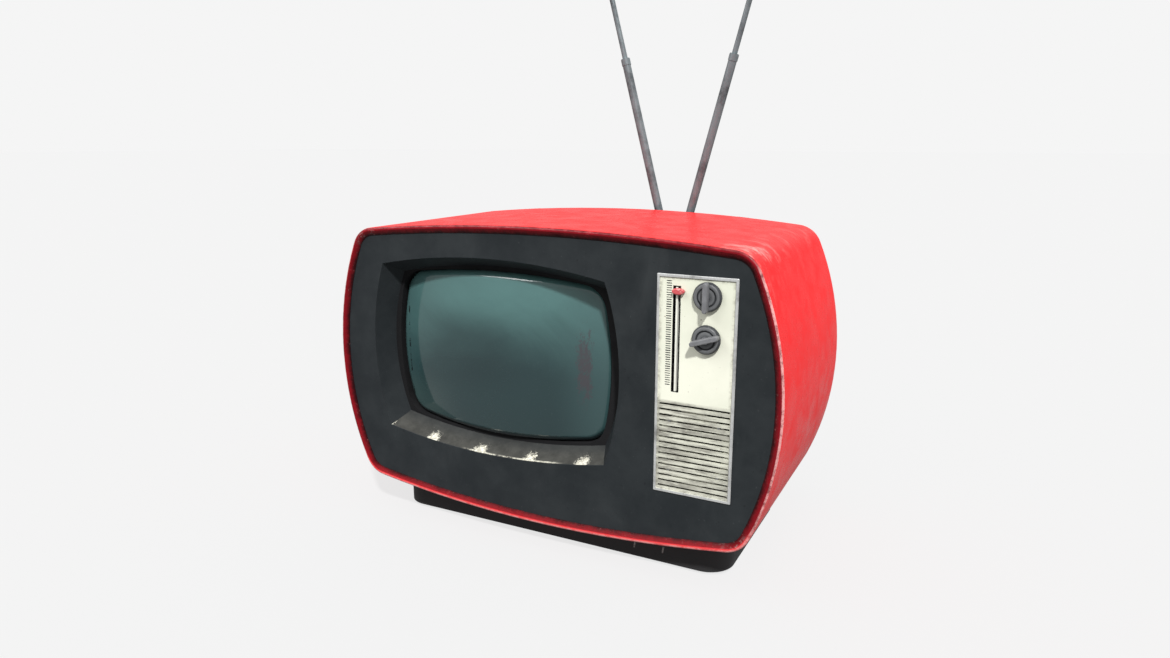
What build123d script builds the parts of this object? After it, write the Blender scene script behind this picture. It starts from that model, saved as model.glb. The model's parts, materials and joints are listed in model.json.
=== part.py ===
from build123d import *
import math
import os

# A portable tube television. Every piece is built in a working frame whose X
# is centred on the cabinet, whose Y starts at the front rim and grows to the
# rear, and whose Z is zero halfway up the cabinet's sides. save() moves it to
# the row frame: X and Y centred on the bounding box, Z zero under the feet.
# All sizes are in millimetres.

# Cabinet: four shallow arcs meeting at rounded corners
CORNER_X = 191.2
CORNER_Z = 122.3
RISE_TOP = 10.5
RISE_BOTTOM = 15.3
RISE_SIDE = 28.8
CORNER_RADIUS = 25.2
SHELL_DEPTH = 214.0
SHELL_WALL = 4.0
LIP_WIDTH = 7.5
LIP_DEPTH = 3.4
LIP_SLOPE_WIDTH = 4.4
LIP_SLOPE_DEPTH = 3.0
FRONT_EDGE_RADIUS = 2.6
REAR_EDGE_RADIUS = 1.5
BOSS_HALF_SIZE = 6.0
BOSS_FRONT_Y = 196.0
BOSS_GAP = 0.2

# Bezel and the sunken screen surround
BEZEL_CLEARANCE = 0.3
BEZEL_THICKNESS = 3.0
SCREEN_LEFT = -165.6
SCREEN_RIGHT = 66.9
SCREEN_LOW = -69.9
SCREEN_HIGH = 90.5
SCREEN_RISE_SIDE = 14.0
SCREEN_RISE_TOP = 11.8
SCREEN_RISE_LOW = 11.4
RECESS_BACK_Y = 24.7
RECESS_TAPER_X = 8.3
RECESS_TAPER_Z = 9.8
RECESS_WALL = 2.5

# Picture tube
TUBE_X = -50.5
TUBE_Z = 10.4
TUBE_CORNER_X = 104.5
TUBE_CORNER_Z = 70.0
TUBE_RISE_SIDE = 10.0
TUBE_RISE_TOP = 7.7
TUBE_CORNER_RADIUS = 24.0
FACE_POLE_Y = 12.0
FACE_RADIUS = 420.0
FACE_GLASS = 8.0
FACE_EDGE_RADIUS = 8.0
SKIRT_BACK_Y = 62.0
FUNNEL_MID_Y = 110.0
NECK_START_Y = 160.0
NECK_END_Y = 262.0
NECK_RADIUS = 10.2
BAND_FRONT_Y = 42.0
BAND_BACK_Y = 50.0
LUG_X = 124.0
LUG_Z = 86.0

# Control panel, its dial and its knobs
PANEL_LEFT = 113.5
PANEL_RIGHT = 180.3
PANEL_LOW = -82.5
PANEL_HIGH = 101.5
PANEL_BACK_Y = 5.6
TRIM_WIDTH = 2.2
TRIM_PROUD = 1.0
BRACKET_Y = 10.0
BRACKET_THICKNESS = 1.2
KNOB_X = 156.0
VOLUME_Z = 85.7
TUNING_Z = 51.8
TUNING_ANGLE = 18.0
KNOB_RADIUS = 11.8
KNOB_FRONT_Y = -7.0
KNOB_RIM_Y = -1.4
KNOB_GROOVE = (6.6, 7.9)
KNOB_BAR_WIDTH = 4.4
SHAFT_RADIUS = 3.0
RUNNING_GAP = 0.05
SLOT_X = 130.3
SLOT_WIDTH = 5.8
SLOT_LOW = 6.0
SLOT_HIGH = 91.5
RAIL_WIDTH = 1.6
POINTER_Z = 88.2
POINTER_X = 132.0
CORD_Y = 22.5
CORD_RADIUS = 0.4
IDLER_CORD_RADIUS = 5.0
DRUM_CORD_RADIUS = 10.0
IDLER_HIGH_Z = 101.0
IDLER_LOW_Z = -1.0

# Loudspeaker behind the slats
SLAT_COUNT = 16
SLAT_LEFT = 117.3
SLAT_RIGHT = 177.2
SLAT_TOP_Z = -5.8
SLAT_PITCH = 4.75
SLAT_HEIGHT = 1.9
SPEAKER_X = 147.0
SPEAKER_Z = -41.5
SPEAKER_RADIUS = 32.4

# Rear cover
COVER_INSET = 1.0
COVER_TAPER = 10.5
COVER_BACK_Y = 266.0
COVER_EDGE = 4.0
COVER_WALL = 3.0
HUMP_WIDTH = 170.0
HUMP_HEIGHT = 136.0
HUMP_TAPER = 9.0
HUMP_CORNER = 18.0
HUMP_BACK_Y = 304.0
COVER_SCREW_X = 120.0
COVER_SCREW_Z = 105.0

# Rabbit-ear antenna
ANTENNA_X = 42.0
ANTENNA_Y = 226.0
ANTENNA_Z = 124.0
HINGE_HALF_GAP = 15.8
LEAN = 14.8
MAST_RADIUS = 4.3
MIDDLE_RADIUS = 2.7
TIP_RADIUS = 1.6
MAST_END = 168.6
MIDDLE_END = 313.0
TIP_END = 440.0
KNUCKLE_RADIUS = 5.4

# Base
PLINTH_HALF_WIDTH = 172.5
PLINTH_FRONT_Y = 25.0
PLINTH_BACK_Y = 195.0
PLINTH_CORNER = 24.0
PLINTH_BOTTOM_Z = -160.0
PLINTH_TOP_Z = -100.0
PLINTH_WALL = 3.0
FOOT_HEIGHT = 3.0
FOOT_RADIUS = 10.0
FOOT_X = 146.0
FOOT_Y = (82.0, 138.0)

MIDDLE_Y = (KNOB_FRONT_Y + HUMP_BACK_Y) / 2
GROUND = FOOT_HEIGHT - PLINTH_BOTTOM_Z

os.makedirs("parts", exist_ok=True)


def save(name, shape):
    """Move a finished piece to the row frame and write it as one STEP file."""
    export_step(Pos(0, -MIDDLE_Y, GROUND) * shape, f"parts/{name}.step")


def on_front(face, y):
    """Place a face drawn as (x, z) in the upright plane at depth y."""
    return Plane.XZ.offset(-y) * face


def slab(face, y0, y1):
    """Extrude a face drawn as (x, z) from depth y0 back to depth y1."""
    return extrude(on_front(face, y0), amount=y0 - y1)


def taper(face0, y0, face1, y1):
    """Straight-sided solid between two faces with the same number of edges."""
    return loft([on_front(face0, y0), on_front(face1, y1)], ruled=True)


def rod(x, z, radius, y0, y1):
    """Round bar that runs from front to back."""
    return slab(Pos(x, z) * Circle(radius), y0, y1)


def block(x0, x1, y0, y1, z0, z1):
    """Rectangular block given by its limits."""
    centre = Pos((x0 + x1) / 2, (y0 + y1) / 2, (z0 + z1) / 2)
    return centre * Box(x1 - x0, y1 - y0, z1 - z0)


def panel(x0, x1, z0, z1):
    """Rectangle drawn as (x, z)."""
    return Pos((x0 + x1) / 2, (z0 + z1) / 2) * Rectangle(x1 - x0, z1 - z0)


def bulge_radius(half, rise):
    """Radius of an arc that rises by rise over a chord of twice half."""
    return (half * half + rise * rise) / (2 * rise)


def far_crossing(upright_centre, upright_radius, side_centre, side_radius, sign):
    """Where a top or bottom arc, centred on x = 0, meets the right-hand arc, centred on z = 0."""
    span = math.hypot(side_centre, upright_centre)
    ux = side_centre / span
    uz = -upright_centre / span
    along = (upright_radius ** 2 - side_radius ** 2 + span ** 2) / (2 * span)
    across = math.sqrt(upright_radius ** 2 - along ** 2)
    points = [(ux * along + turn * uz * across, upright_centre + uz * along - turn * ux * across)
              for turn in (-1, 1)]
    return max(points, key=lambda point: point[0] + sign * point[1])


def four_arcs(x0, x1, z0, z1, rise_side, rise_low, rise_high, radius=0.0, grow=0.0):
    """Face with four outward-curving sides through the given corners, drawn out by grow."""
    mid_x = (x0 + x1) / 2
    mid_z = (z0 + z1) / 2
    half_x = (x1 - x0) / 2
    half_z = (z1 - z0) / 2
    top_radius = bulge_radius(half_x, rise_high)
    low_radius = bulge_radius(half_x, rise_low)
    side_radius = bulge_radius(half_z, rise_side)
    top_centre = half_z + rise_high - top_radius
    low_centre = low_radius - half_z - rise_low
    side_centre = half_x + rise_side - side_radius
    top = far_crossing(top_centre, top_radius + grow, side_centre, side_radius + grow, 1)
    low = far_crossing(low_centre, low_radius + grow, side_centre, side_radius + grow, -1)
    crest = half_z + rise_high + grow
    floor = -half_z - rise_low - grow
    flank = half_x + rise_side + grow
    sides = [
        ThreePointArc((-top[0], top[1]), (0, crest), top),
        ThreePointArc(top, (flank, 0), low),
        ThreePointArc(low, (0, floor), (-low[0], low[1])),
        ThreePointArc((-low[0], low[1]), (-flank, 0), (-top[0], top[1])),
    ]
    face = make_face(sides)
    if radius:
        face = fillet(face.vertices(), radius + grow)
    return Pos(mid_x, mid_z) * face


def cabinet_outline(inset=0.0):
    """Outline of the cabinet, drawn in by inset all round."""
    return four_arcs(-CORNER_X, CORNER_X, -CORNER_Z, CORNER_Z, RISE_SIDE, RISE_BOTTOM, RISE_TOP,
                     CORNER_RADIUS, -inset)


def screen_outline(depth_share=0.0, grow=0.0):
    """Screen surround at the front (0) or at the back (1) of its slope."""
    dx = RECESS_TAPER_X * depth_share
    dz = RECESS_TAPER_Z * depth_share
    return four_arcs(SCREEN_LEFT + dx, SCREEN_RIGHT - dx, SCREEN_LOW + dz, SCREEN_HIGH - dz,
                     SCREEN_RISE_SIDE, SCREEN_RISE_LOW, SCREEN_RISE_TOP, 0, grow)


def tube_outline(scale=1.0, grow=0.0):
    """Outline of the picture tube about its own axis."""
    half_x = TUBE_CORNER_X * scale
    half_z = TUBE_CORNER_Z * scale
    rise = TUBE_RISE_TOP * scale
    face = four_arcs(-half_x, half_x, -half_z, half_z, TUBE_RISE_SIDE * scale, rise, rise,
                     TUBE_CORNER_RADIUS * scale, grow)
    return Pos(TUBE_X, TUBE_Z) * face


def cabinet_body(inset, y0, y1):
    """Solid cabinet shape between two depths."""
    return slab(cabinet_outline(inset), y0, y1)


def mirrored_points(x, z):
    """The four points at plus and minus x and z."""
    return [(sx * x, sz * z) for sx in (-1, 1) for sz in (-1, 1)]


def screw(x, z, radius, head_radius, y_tip, y_seat, head):
    """Screw driven from the rear: tip forward, head behind its seat."""
    shank = rod(x, z, radius, y_tip, y_seat)
    top = rod(x, z, head_radius, y_seat, y_seat + head)
    slot = block(x - head_radius, x + head_radius, y_seat + head * 0.6, y_seat + head, z - 0.4, z + 0.4)
    return shank + top - slot


# ---------------------------------------------------------------- cabinet

PLINTH_SCREWS = [(x, y) for x in (-140.0, 140.0) for y in (60.0, 160.0)]
SCREW_WELL = 8.0


def plinth_block(inset, z0, z1):
    """Rounded block of the plinth's plan, drawn in by inset."""
    width = 2 * (PLINTH_HALF_WIDTH - inset)
    depth = PLINTH_BACK_Y - PLINTH_FRONT_Y - 2 * inset
    plan = RectangleRounded(width, depth, PLINTH_CORNER - inset)
    middle = (PLINTH_FRONT_Y + PLINTH_BACK_Y) / 2
    return extrude(Pos(0, middle, z0) * plan, amount=z1 - z0)


def make_shell():
    """Red cabinet: a bent tube with a sloping lip at the front and bosses at the rear."""
    outside = cabinet_body(0, 0, SHELL_DEPTH)
    front_edges = outside.faces().sort_by(Axis.Y)[0].edges()
    body = fillet(front_edges, FRONT_EDGE_RADIUS)
    rear_edges = body.faces().sort_by(Axis.Y)[-1].edges()
    body = fillet(rear_edges, REAR_EDGE_RADIUS)
    body -= cabinet_body(SHELL_WALL, LIP_DEPTH, SHELL_DEPTH + 1)
    body -= cabinet_body(LIP_WIDTH, -1, LIP_DEPTH + 1)
    slope_front = cabinet_outline(LIP_WIDTH - LIP_SLOPE_WIDTH)
    slope_back = cabinet_outline(LIP_WIDTH)
    body -= taper(slope_front, 0, slope_back, LIP_SLOPE_DEPTH)
    bosses = []
    holes = []
    for x, z in mirrored_points(COVER_SCREW_X, COVER_SCREW_Z):
        side = math.copysign(1, z)
        far = side * (CORNER_Z + RISE_BOTTOM)
        low, high = sorted((z - side * BOSS_HALF_SIZE, far))
        left = x - BOSS_HALF_SIZE
        right = x + BOSS_HALF_SIZE
        bosses.append(block(left, right, BOSS_FRONT_Y, SHELL_DEPTH - BOSS_GAP, low, high))
        holes.append(rod(x, z, 2.0, BOSS_FRONT_Y + 3, SHELL_DEPTH + 1))
    body += [boss & outside for boss in bosses]
    for x, y in PLINTH_SCREWS:
        holes.append(Pos(x, y, -130) * Cylinder(2.4, 40))
    return body - holes


def make_plinth():
    """Black base: a hollow block that follows the curve of the cabinet's underside."""
    body = plinth_block(0, PLINTH_BOTTOM_Z, PLINTH_TOP_Z)
    body -= plinth_block(PLINTH_WALL, PLINTH_BOTTOM_Z + PLINTH_WALL, PLINTH_TOP_Z + 10)
    posts = []
    holes = []
    for x, y in PLINTH_SCREWS:
        posts.append(Pos(x, y, -130) * Cylinder(6, 60))
        holes.append(Pos(x, y, -130) * Cylinder(2.4, 70))
        holes.append(Pos(x, y, PLINTH_BOTTOM_Z) * Cylinder(4.6, 2 * SCREW_WELL))
    body += [post & plinth_block(0, PLINTH_BOTTOM_Z, PLINTH_TOP_Z) for post in posts]
    for x, y in PLINTH_SCREWS:
        sleeve = Pos(x, y, PLINTH_BOTTOM_Z + 5) * Cylinder(7, 10)
        body += sleeve
    body -= cabinet_body(0, 0, SHELL_DEPTH)
    return body - holes


def make_plinth_screws():
    """Four screws that hold the plinth and the cabinet to the chassis rails."""
    screws = []
    for x, y in PLINTH_SCREWS:
        seat = PLINTH_BOTTOM_Z + SCREW_WELL
        head = Pos(x, y, seat - 1.5) * Cylinder(4.0, 3.0)
        shank = Pos(x, y, seat + 15) * Cylinder(2.0, 30)
        cross = Pos(x, y, seat - 2.5) * Box(5, 0.9, 1.4)
        screws.append(head + shank - cross)
    return Part() + screws


def make_feet():
    """Four rubber feet stuck under the plinth."""
    feet = []
    for x in (-FOOT_X, FOOT_X):
        for y in FOOT_Y:
            foot = Pos(x, y, PLINTH_BOTTOM_Z - FOOT_HEIGHT / 2) * Cylinder(FOOT_RADIUS, FOOT_HEIGHT)
            feet.append(chamfer(foot.faces().sort_by(Axis.Z)[0].edges(), 1.0))
    return Part() + feet


# ------------------------------------------------------------------ front

def tube_lugs():
    """Places of the four screws that hold the picture tube."""
    return [(TUBE_X + x, TUBE_Z + z) for x, z in mirrored_points(LUG_X, LUG_Z)]


def make_bezel():
    """Charcoal front with the sloping screen surround and the panel opening."""
    back = LIP_DEPTH + BEZEL_THICKNESS
    body = cabinet_body(SHELL_WALL + BEZEL_CLEARANCE, LIP_DEPTH, back)
    body += taper(screen_outline(0, RECESS_WALL), LIP_DEPTH, screen_outline(1, RECESS_WALL), RECESS_BACK_Y)
    for x, z in tube_lugs():
        body += rod(x, z, 5.5, back - 1, BAND_BACK_Y - 2)
    body -= taper(screen_outline(0), LIP_DEPTH, screen_outline(1), RECESS_BACK_Y)
    edge = 0.35
    opening = panel(PANEL_LEFT + edge, PANEL_RIGHT - edge, PANEL_LOW + edge, PANEL_HIGH - edge)
    body -= slab(opening, 0, back + 1)
    holes = [rod(x, z, 1.9, BAND_BACK_Y - 24, BAND_BACK_Y) for x, z in tube_lugs()]
    return body - holes


def make_bezel_clips():
    """Six spring-steel angles that hold the bezel against the lip of the cabinet."""
    front = LIP_DEPTH + BEZEL_THICKNESS
    space = cabinet_body(SHELL_WALL, front, front + 16)
    leg_band = space - cabinet_body(SHELL_WALL + 1.2, front, front + 16)
    foot_band = cabinet_body(SHELL_WALL, front, front + 1.2) - cabinet_body(SHELL_WALL + 9, front, front + 2)
    band = leg_band + foot_band
    places = [block(x - 7, x + 7, 0, 40, z0, z1) for x in (-95, 95) for z0, z1 in ((90, 150), (-150, -90))]
    places += [block(x0, x1, 0, 40, 3, 17) for x0, x1 in ((-240, -190), (190, 240))]
    return Part() + [band & place for place in places]


def make_gasket():
    """Black rubber ring between the surround and the glass."""
    ring = slab(screen_outline(1, 2.6), RECESS_BACK_Y, BAND_FRONT_Y - 0.5)
    return ring - slab(tube_outline(grow=0.15), 0, BAND_BACK_Y)


# ----------------------------------------------------------- picture tube

def face_ball(radius):
    """Ball whose front gives the curve of the screen."""
    return Pos(TUBE_X, FACE_POLE_Y + FACE_RADIUS, TUBE_Z) * Sphere(radius)


def make_tube_face():
    """Glass screen panel with its skirt, hollow behind."""
    outside = slab(tube_outline(), 0, SKIRT_BACK_Y) & face_ball(FACE_RADIUS)
    outside = fillet(outside.faces().sort_by(Axis.Y)[0].edges(), FACE_EDGE_RADIUS)
    inside = slab(tube_outline(grow=-6.0), 0, SKIRT_BACK_Y + 1) & face_ball(FACE_RADIUS - FACE_GLASS)
    return outside - inside


def funnel_solid(grow=0.0):
    """Outside of the glass funnel, or the space in it where grow is negative."""
    wide = tube_outline(1.0, grow)
    middle = tube_outline(0.62, grow)
    small = tube_outline(0.155, grow)
    front = taper(wide, SKIRT_BACK_Y, middle, FUNNEL_MID_Y)
    rear = taper(middle, FUNNEL_MID_Y, small, NECK_START_Y)
    return front + rear


def make_neck():
    """Glass neck, closed at the rear, with its base."""
    tube = rod(TUBE_X, TUBE_Z, NECK_RADIUS, NECK_START_Y, NECK_END_Y)
    hollow = rod(TUBE_X, TUBE_Z, NECK_RADIUS - 1.5, NECK_START_Y, NECK_END_Y - 4)
    return tube - hollow


def make_rim_band():
    """Steel band round the skirt, with an ear at each corner."""
    outside = slab(tube_outline(grow=1.3), BAND_FRONT_Y, BAND_BACK_Y)
    for x, z in mirrored_points(1, 1):
        start = (TUBE_X + x * (TUBE_CORNER_X - 8), TUBE_Z + z * (TUBE_CORNER_Z - 8))
        end = (TUBE_X + x * LUG_X, TUBE_Z + z * LUG_Z)
        length = math.dist(start, end)
        angle = math.degrees(math.atan2(end[1] - start[1], end[0] - start[0]))
        middle = Pos((start[0] + end[0]) / 2, (start[1] + end[1]) / 2)
        ear = middle * Rot(0, 0, angle) * SlotCenterToCenter(length, 14)
        outside += slab(ear, BAND_BACK_Y - 2, BAND_BACK_Y)
        outside -= rod(end[0], end[1], 2.2, BAND_BACK_Y - 3, BAND_BACK_Y + 1)
    return outside - slab(tube_outline(grow=0.1), 0, 100)


def make_tube_screws():
    """Four screws through the ears of the rim band into the bezel."""
    return Part() + [screw(x, z, 1.8, 4.2, BAND_BACK_Y - 20, BAND_BACK_Y, 2.6) for x, z in tube_lugs()]


def ring(x, z, inner, outer, y0, y1):
    """Round ring whose axis runs from front to back."""
    return rod(x, z, outer, y0, y1) - rod(x, z, inner, y0 - 1, y1 + 1)


YOKE_BORE_RADIUS = NECK_RADIUS + 0.4
YOKE_WINDING_RADIUS = 36.0
YOKE_FORMER_RADIUS = 24.0
YOKE_COLLAR_RADIUS = 15.0
YOKE_CORE_RADIUS = 31.0


def make_yoke():
    """Deflection coils: a flared winding and its collar on the neck."""
    start = NECK_START_Y
    winding = ring(TUBE_X, TUBE_Z, YOKE_BORE_RADIUS, YOKE_WINDING_RADIUS, start + 0.5, start + 6)
    former = ring(TUBE_X, TUBE_Z, YOKE_BORE_RADIUS, YOKE_FORMER_RADIUS, start + 6, start + 36)
    collar = ring(TUBE_X, TUBE_Z, YOKE_BORE_RADIUS, YOKE_COLLAR_RADIUS, start + 36, start + 48)
    return winding + former + collar


def make_yoke_core():
    """Ferrite ring round the former."""
    start = NECK_START_Y
    return ring(TUBE_X, TUBE_Z, YOKE_FORMER_RADIUS, YOKE_CORE_RADIUS, start + 10, start + 30)


def make_socket_board():
    """Tube socket with its small circuit board."""
    board = slab(Pos(TUBE_X, TUBE_Z) * RectangleRounded(58, 48, 3), NECK_END_Y + 12, NECK_END_Y + 13.6)
    socket = rod(TUBE_X, TUBE_Z, 14, NECK_END_Y, NECK_END_Y + 12)
    parts = [rod(TUBE_X + dx, TUBE_Z + dz, 3, NECK_END_Y + 13.6, NECK_END_Y + 22)
             for dx, dz in ((-20, 14), (-20, -14), (20, 14), (20, -14))]
    return board + socket + parts


def make_anode_cap():
    """Rubber cap of the high-voltage lead, on top of the funnel."""
    slope = math.degrees(math.atan2(TUBE_CORNER_Z * 0.38, FUNNEL_MID_Y - SKIRT_BACK_Y))
    place = Pos(TUBE_X + 30, 88, TUBE_Z + 64) * Rot(-slope, 0, 0)
    cap = place * Cylinder(15, 14) + place * Pos(0, 0, 9) * Cylinder(5, 6)
    return cap - funnel_solid()


# ---------------------------------------------------------- control panel

def slat_heights():
    """Heights of the slots in front of the loudspeaker."""
    return [SLAT_TOP_Z - SLAT_PITCH * row for row in range(SLAT_COUNT)]


def speaker_screw_places():
    """Four fixing points on the rim of the loudspeaker."""
    reach = (SPEAKER_RADIUS - 2.7) * math.sqrt(0.5)
    return [(SPEAKER_X + x, SPEAKER_Z + z) for x, z in mirrored_points(reach, reach)]


def make_control_panel():
    """Cream panel with the dial slot, two shaft holes and the slatted grille."""
    edge = 0.5
    face = panel(PANEL_LEFT + edge, PANEL_RIGHT - edge, PANEL_LOW + edge, PANEL_HIGH - edge)
    body = slab(face, LIP_DEPTH, PANEL_BACK_Y)
    cuts = [slab(panel(SLOT_X - SLOT_WIDTH / 2, SLOT_X + SLOT_WIDTH / 2, SLOT_LOW, SLOT_HIGH), 0, 10)]
    for z in (VOLUME_Z, TUNING_Z):
        cuts.append(rod(KNOB_X, z, 5.2, 0, 10))
    for z in slat_heights():
        cuts.append(slab(panel(SLAT_LEFT, SLAT_RIGHT, z - SLAT_HEIGHT / 2, z + SLAT_HEIGHT / 2), 0, 10))
    cuts += [rod(x, z, 1.3, PANEL_BACK_Y - 1.4, PANEL_BACK_Y + 1) for x, z in speaker_screw_places()]
    return body - cuts


def make_panel_trim():
    """Thin metal frame round the control panel."""
    outer = panel(PANEL_LEFT, PANEL_RIGHT, PANEL_LOW, PANEL_HIGH)
    frame = slab(fillet(outer.vertices(), 0.8), LIP_DEPTH - TRIM_PROUD, LIP_DEPTH)
    frame = chamfer(frame.faces().sort_by(Axis.Y)[0].edges(), 0.45)
    inner = panel(PANEL_LEFT + TRIM_WIDTH, PANEL_RIGHT - TRIM_WIDTH,
                  PANEL_LOW + TRIM_WIDTH, PANEL_HIGH - TRIM_WIDTH)
    return frame - slab(inner, -5, 10)


def make_rail():
    """Narrow rail in the middle of the dial slot that guides the pointer."""
    face = panel(SLOT_X - RAIL_WIDTH / 2, SLOT_X + RAIL_WIDTH / 2, SLOT_LOW - 2, SLOT_HIGH + 3)
    body = slab(face, PANEL_BACK_Y, BRACKET_Y)
    tongue = panel(SLOT_X - RAIL_WIDTH / 2, SLOT_X + RAIL_WIDTH / 2, SLOT_LOW, SLOT_HIGH)
    return body + slab(tongue, LIP_DEPTH, PANEL_BACK_Y)


def make_bracket():
    """Steel bracket behind the panel that carries the controls and the dial drive."""
    back = BRACKET_Y + BRACKET_THICKNESS
    body = slab(panel(116, 178, -7, 111), BRACKET_Y, back)
    legs = [block(x, x + 4, LIP_DEPTH + BEZEL_THICKNESS, BRACKET_Y, z, z + 4)
            for x in (116, 174) for z in (103.5, 107)]
    cuts = [slab(panel(SLOT_X - 4.7, SLOT_X + 5.3, SLOT_LOW - 1.5, SLOT_HIGH + 2.0), 0, 20)]
    cuts.append(rod(KNOB_X, VOLUME_Z, 4.55, 0, 20))
    cuts.append(rod(KNOB_X, TUNING_Z, SHAFT_RADIUS + RUNNING_GAP, 0, 20))
    return body + legs - cuts


def make_volume_pot():
    """Volume control with its threaded bush and on-off switch."""
    back = BRACKET_Y + BRACKET_THICKNESS
    body = rod(KNOB_X, VOLUME_Z, 11, back, back + 7.5)
    body += rod(KNOB_X, VOLUME_Z, 4.5, PANEL_BACK_Y - 1.6, back)
    body += rod(KNOB_X, VOLUME_Z, 7, BRACKET_Y - 2.0, BRACKET_Y)
    lugs = [block(x - 1, x + 1, back + 2, back + 2.8, VOLUME_Z + 9, VOLUME_Z + 17)
            for x in (KNOB_X - 5, KNOB_X, KNOB_X + 5)]
    return body + lugs - rod(KNOB_X, VOLUME_Z, SHAFT_RADIUS + RUNNING_GAP, 0, back + 6.5)


def make_shaft(z, y_end):
    """Steel control shaft."""
    return rod(KNOB_X, z, SHAFT_RADIUS, -1.5, y_end)


def make_knob(z, angle):
    """Round knob with a raised ring, a sunken face and a finger bar."""
    back_y = LIP_DEPTH - 0.5
    body = rod(KNOB_X, z, KNOB_RADIUS, KNOB_RIM_Y, back_y)
    body = chamfer(body.faces().sort_by(Axis.Y)[0].edges(), 1.9)
    body -= ring(KNOB_X, z, *KNOB_GROOVE, KNOB_RIM_Y - 1, KNOB_RIM_Y + 1.3)
    bar_face = SlotOverall(2 * KNOB_RADIUS + 0.6, KNOB_BAR_WIDTH)
    bar = slab(Pos(KNOB_X, z) * Rot(0, 0, angle) * bar_face, KNOB_FRONT_Y, KNOB_RIM_Y + 1.0)
    bar = chamfer(bar.faces().sort_by(Axis.Y)[0].edges(), 0.8)
    body += bar
    return body - rod(KNOB_X, z, SHAFT_RADIUS, -1.5, 10)


def grooved_wheel(x, z, cord_radius, bore):
    """Wheel with a groove that the dial cord runs in."""
    flange = cord_radius + 1.2
    body = rod(x, z, flange, WHEEL_FRONT_Y, WHEEL_BACK_Y)
    body -= ring(x, z, cord_radius - CORD_RADIUS - 0.2, flange + 1, CORD_Y - 1.2, CORD_Y + 1.2)
    return body - rod(x, z, bore, 0, 60)


IDLER_X = SLOT_X + IDLER_CORD_RADIUS
WHEEL_FRONT_Y = CORD_Y - 2.6
WHEEL_BACK_Y = CORD_Y + 2.6
IDLER_PIN_RADIUS = 1.5


def make_idler(z):
    """Small pulley that turns the dial cord."""
    return grooved_wheel(IDLER_X, z, IDLER_CORD_RADIUS, IDLER_PIN_RADIUS + RUNNING_GAP)


def make_idler_pins():
    """Headed pins that carry the two idler pulleys."""
    back = BRACKET_Y + BRACKET_THICKNESS
    pins = []
    for z in (IDLER_HIGH_Z, IDLER_LOW_Z):
        pin = rod(IDLER_X, z, IDLER_PIN_RADIUS, back, WHEEL_BACK_Y + 0.4)
        pin += rod(IDLER_X, z, 3.0, back, WHEEL_FRONT_Y - 0.3)
        pins.append(pin + rod(IDLER_X, z, 2.6, WHEEL_BACK_Y + 0.3, WHEEL_BACK_Y + 1.3))
    return Part() + pins


def tangent_run(start, start_radius, end, end_radius):
    """Ends of the straight run that touches two circles on its right-hand side."""
    span = math.dist(start, end)
    dx = (end[0] - start[0]) / span
    dz = (end[1] - start[1]) / span
    along = (start_radius - end_radius) / span
    across = math.sqrt(1 - along * along)
    nx = dx * along + dz * across
    nz = dz * along - dx * across
    first = (start[0] + nx * start_radius, start[1] + nz * start_radius)
    last = (end[0] + nx * end_radius, end[1] + nz * end_radius)
    return first, last


def make_dial_cord():
    """Closed loop of cord round the drum and both idlers."""
    wheels = [((IDLER_X, IDLER_HIGH_Z), IDLER_CORD_RADIUS),
              ((IDLER_X, IDLER_LOW_Z), IDLER_CORD_RADIUS),
              ((KNOB_X, TUNING_Z), DRUM_CORD_RADIUS)]
    runs = []
    for index, (centre, radius) in enumerate(wheels):
        after, after_radius = wheels[(index + 1) % 3]
        runs.append(tangent_run(centre, radius, after, after_radius))
    pieces = []
    for index, (first, last) in enumerate(runs):
        centre, radius = wheels[(index + 1) % 3]
        away = runs[(index + 1) % 3][0]
        mid_x = (last[0] + away[0]) / 2 - centre[0]
        mid_z = (last[1] + away[1]) / 2 - centre[1]
        reach = math.hypot(mid_x, mid_z)
        sign = 1 if (mid_x * (last[0] - centre[0]) + mid_z * (last[1] - centre[1])) > 0 else -1
        top = (centre[0] + sign * mid_x / reach * radius, centre[1] + sign * mid_z / reach * radius)
        pieces.append(Line(first, last))
        pieces.append(ThreePointArc(last, top, away))
    path = on_front(Wire(pieces), CORD_Y)
    start = path @ 0
    section = Plane(origin=start, z_dir=path % 0) * Circle(CORD_RADIUS)
    return sweep(section, path=path)


def make_pointer():
    """Oval pointer cap, its fork round the rail, and its cord clamp."""
    cap = slab(Pos(POINTER_X, POINTER_Z) * Ellipse(5.2, 2.55), LIP_DEPTH - 3.6, LIP_DEPTH - 0.5)
    cap = chamfer(cap.faces().sort_by(Axis.Y)[0].edges(), 0.7)
    inner = RAIL_WIDTH / 2 + 0.25
    outer = SLOT_WIDTH / 2 - 0.3
    carriage_y = BRACKET_Y + BRACKET_THICKNESS + 0.3
    body = cap
    for low, high in ((-outer, -inner), (inner, outer)):
        prong = panel(SLOT_X + low, SLOT_X + high, POINTER_Z - 1.8, POINTER_Z + 1.8)
        body += slab(prong, LIP_DEPTH - 0.6, carriage_y)
    body += block(SLOT_X - 4.2, SLOT_X + 4.2, carriage_y, carriage_y + 1.5, POINTER_Z - 5, POINTER_Z + 3.0)
    body += block(SLOT_X - 2, SLOT_X + 2, carriage_y + 1.5, CORD_Y + 1.6, POINTER_Z - 2.5, POINTER_Z + 2.5)
    return body - Pos(SLOT_X, CORD_Y, POINTER_Z) * Cylinder(CORD_RADIUS + 0.2, 12)


TUNER_HALF_WIDTH = 26.0
TUNER_LENGTH = 58.0


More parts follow.
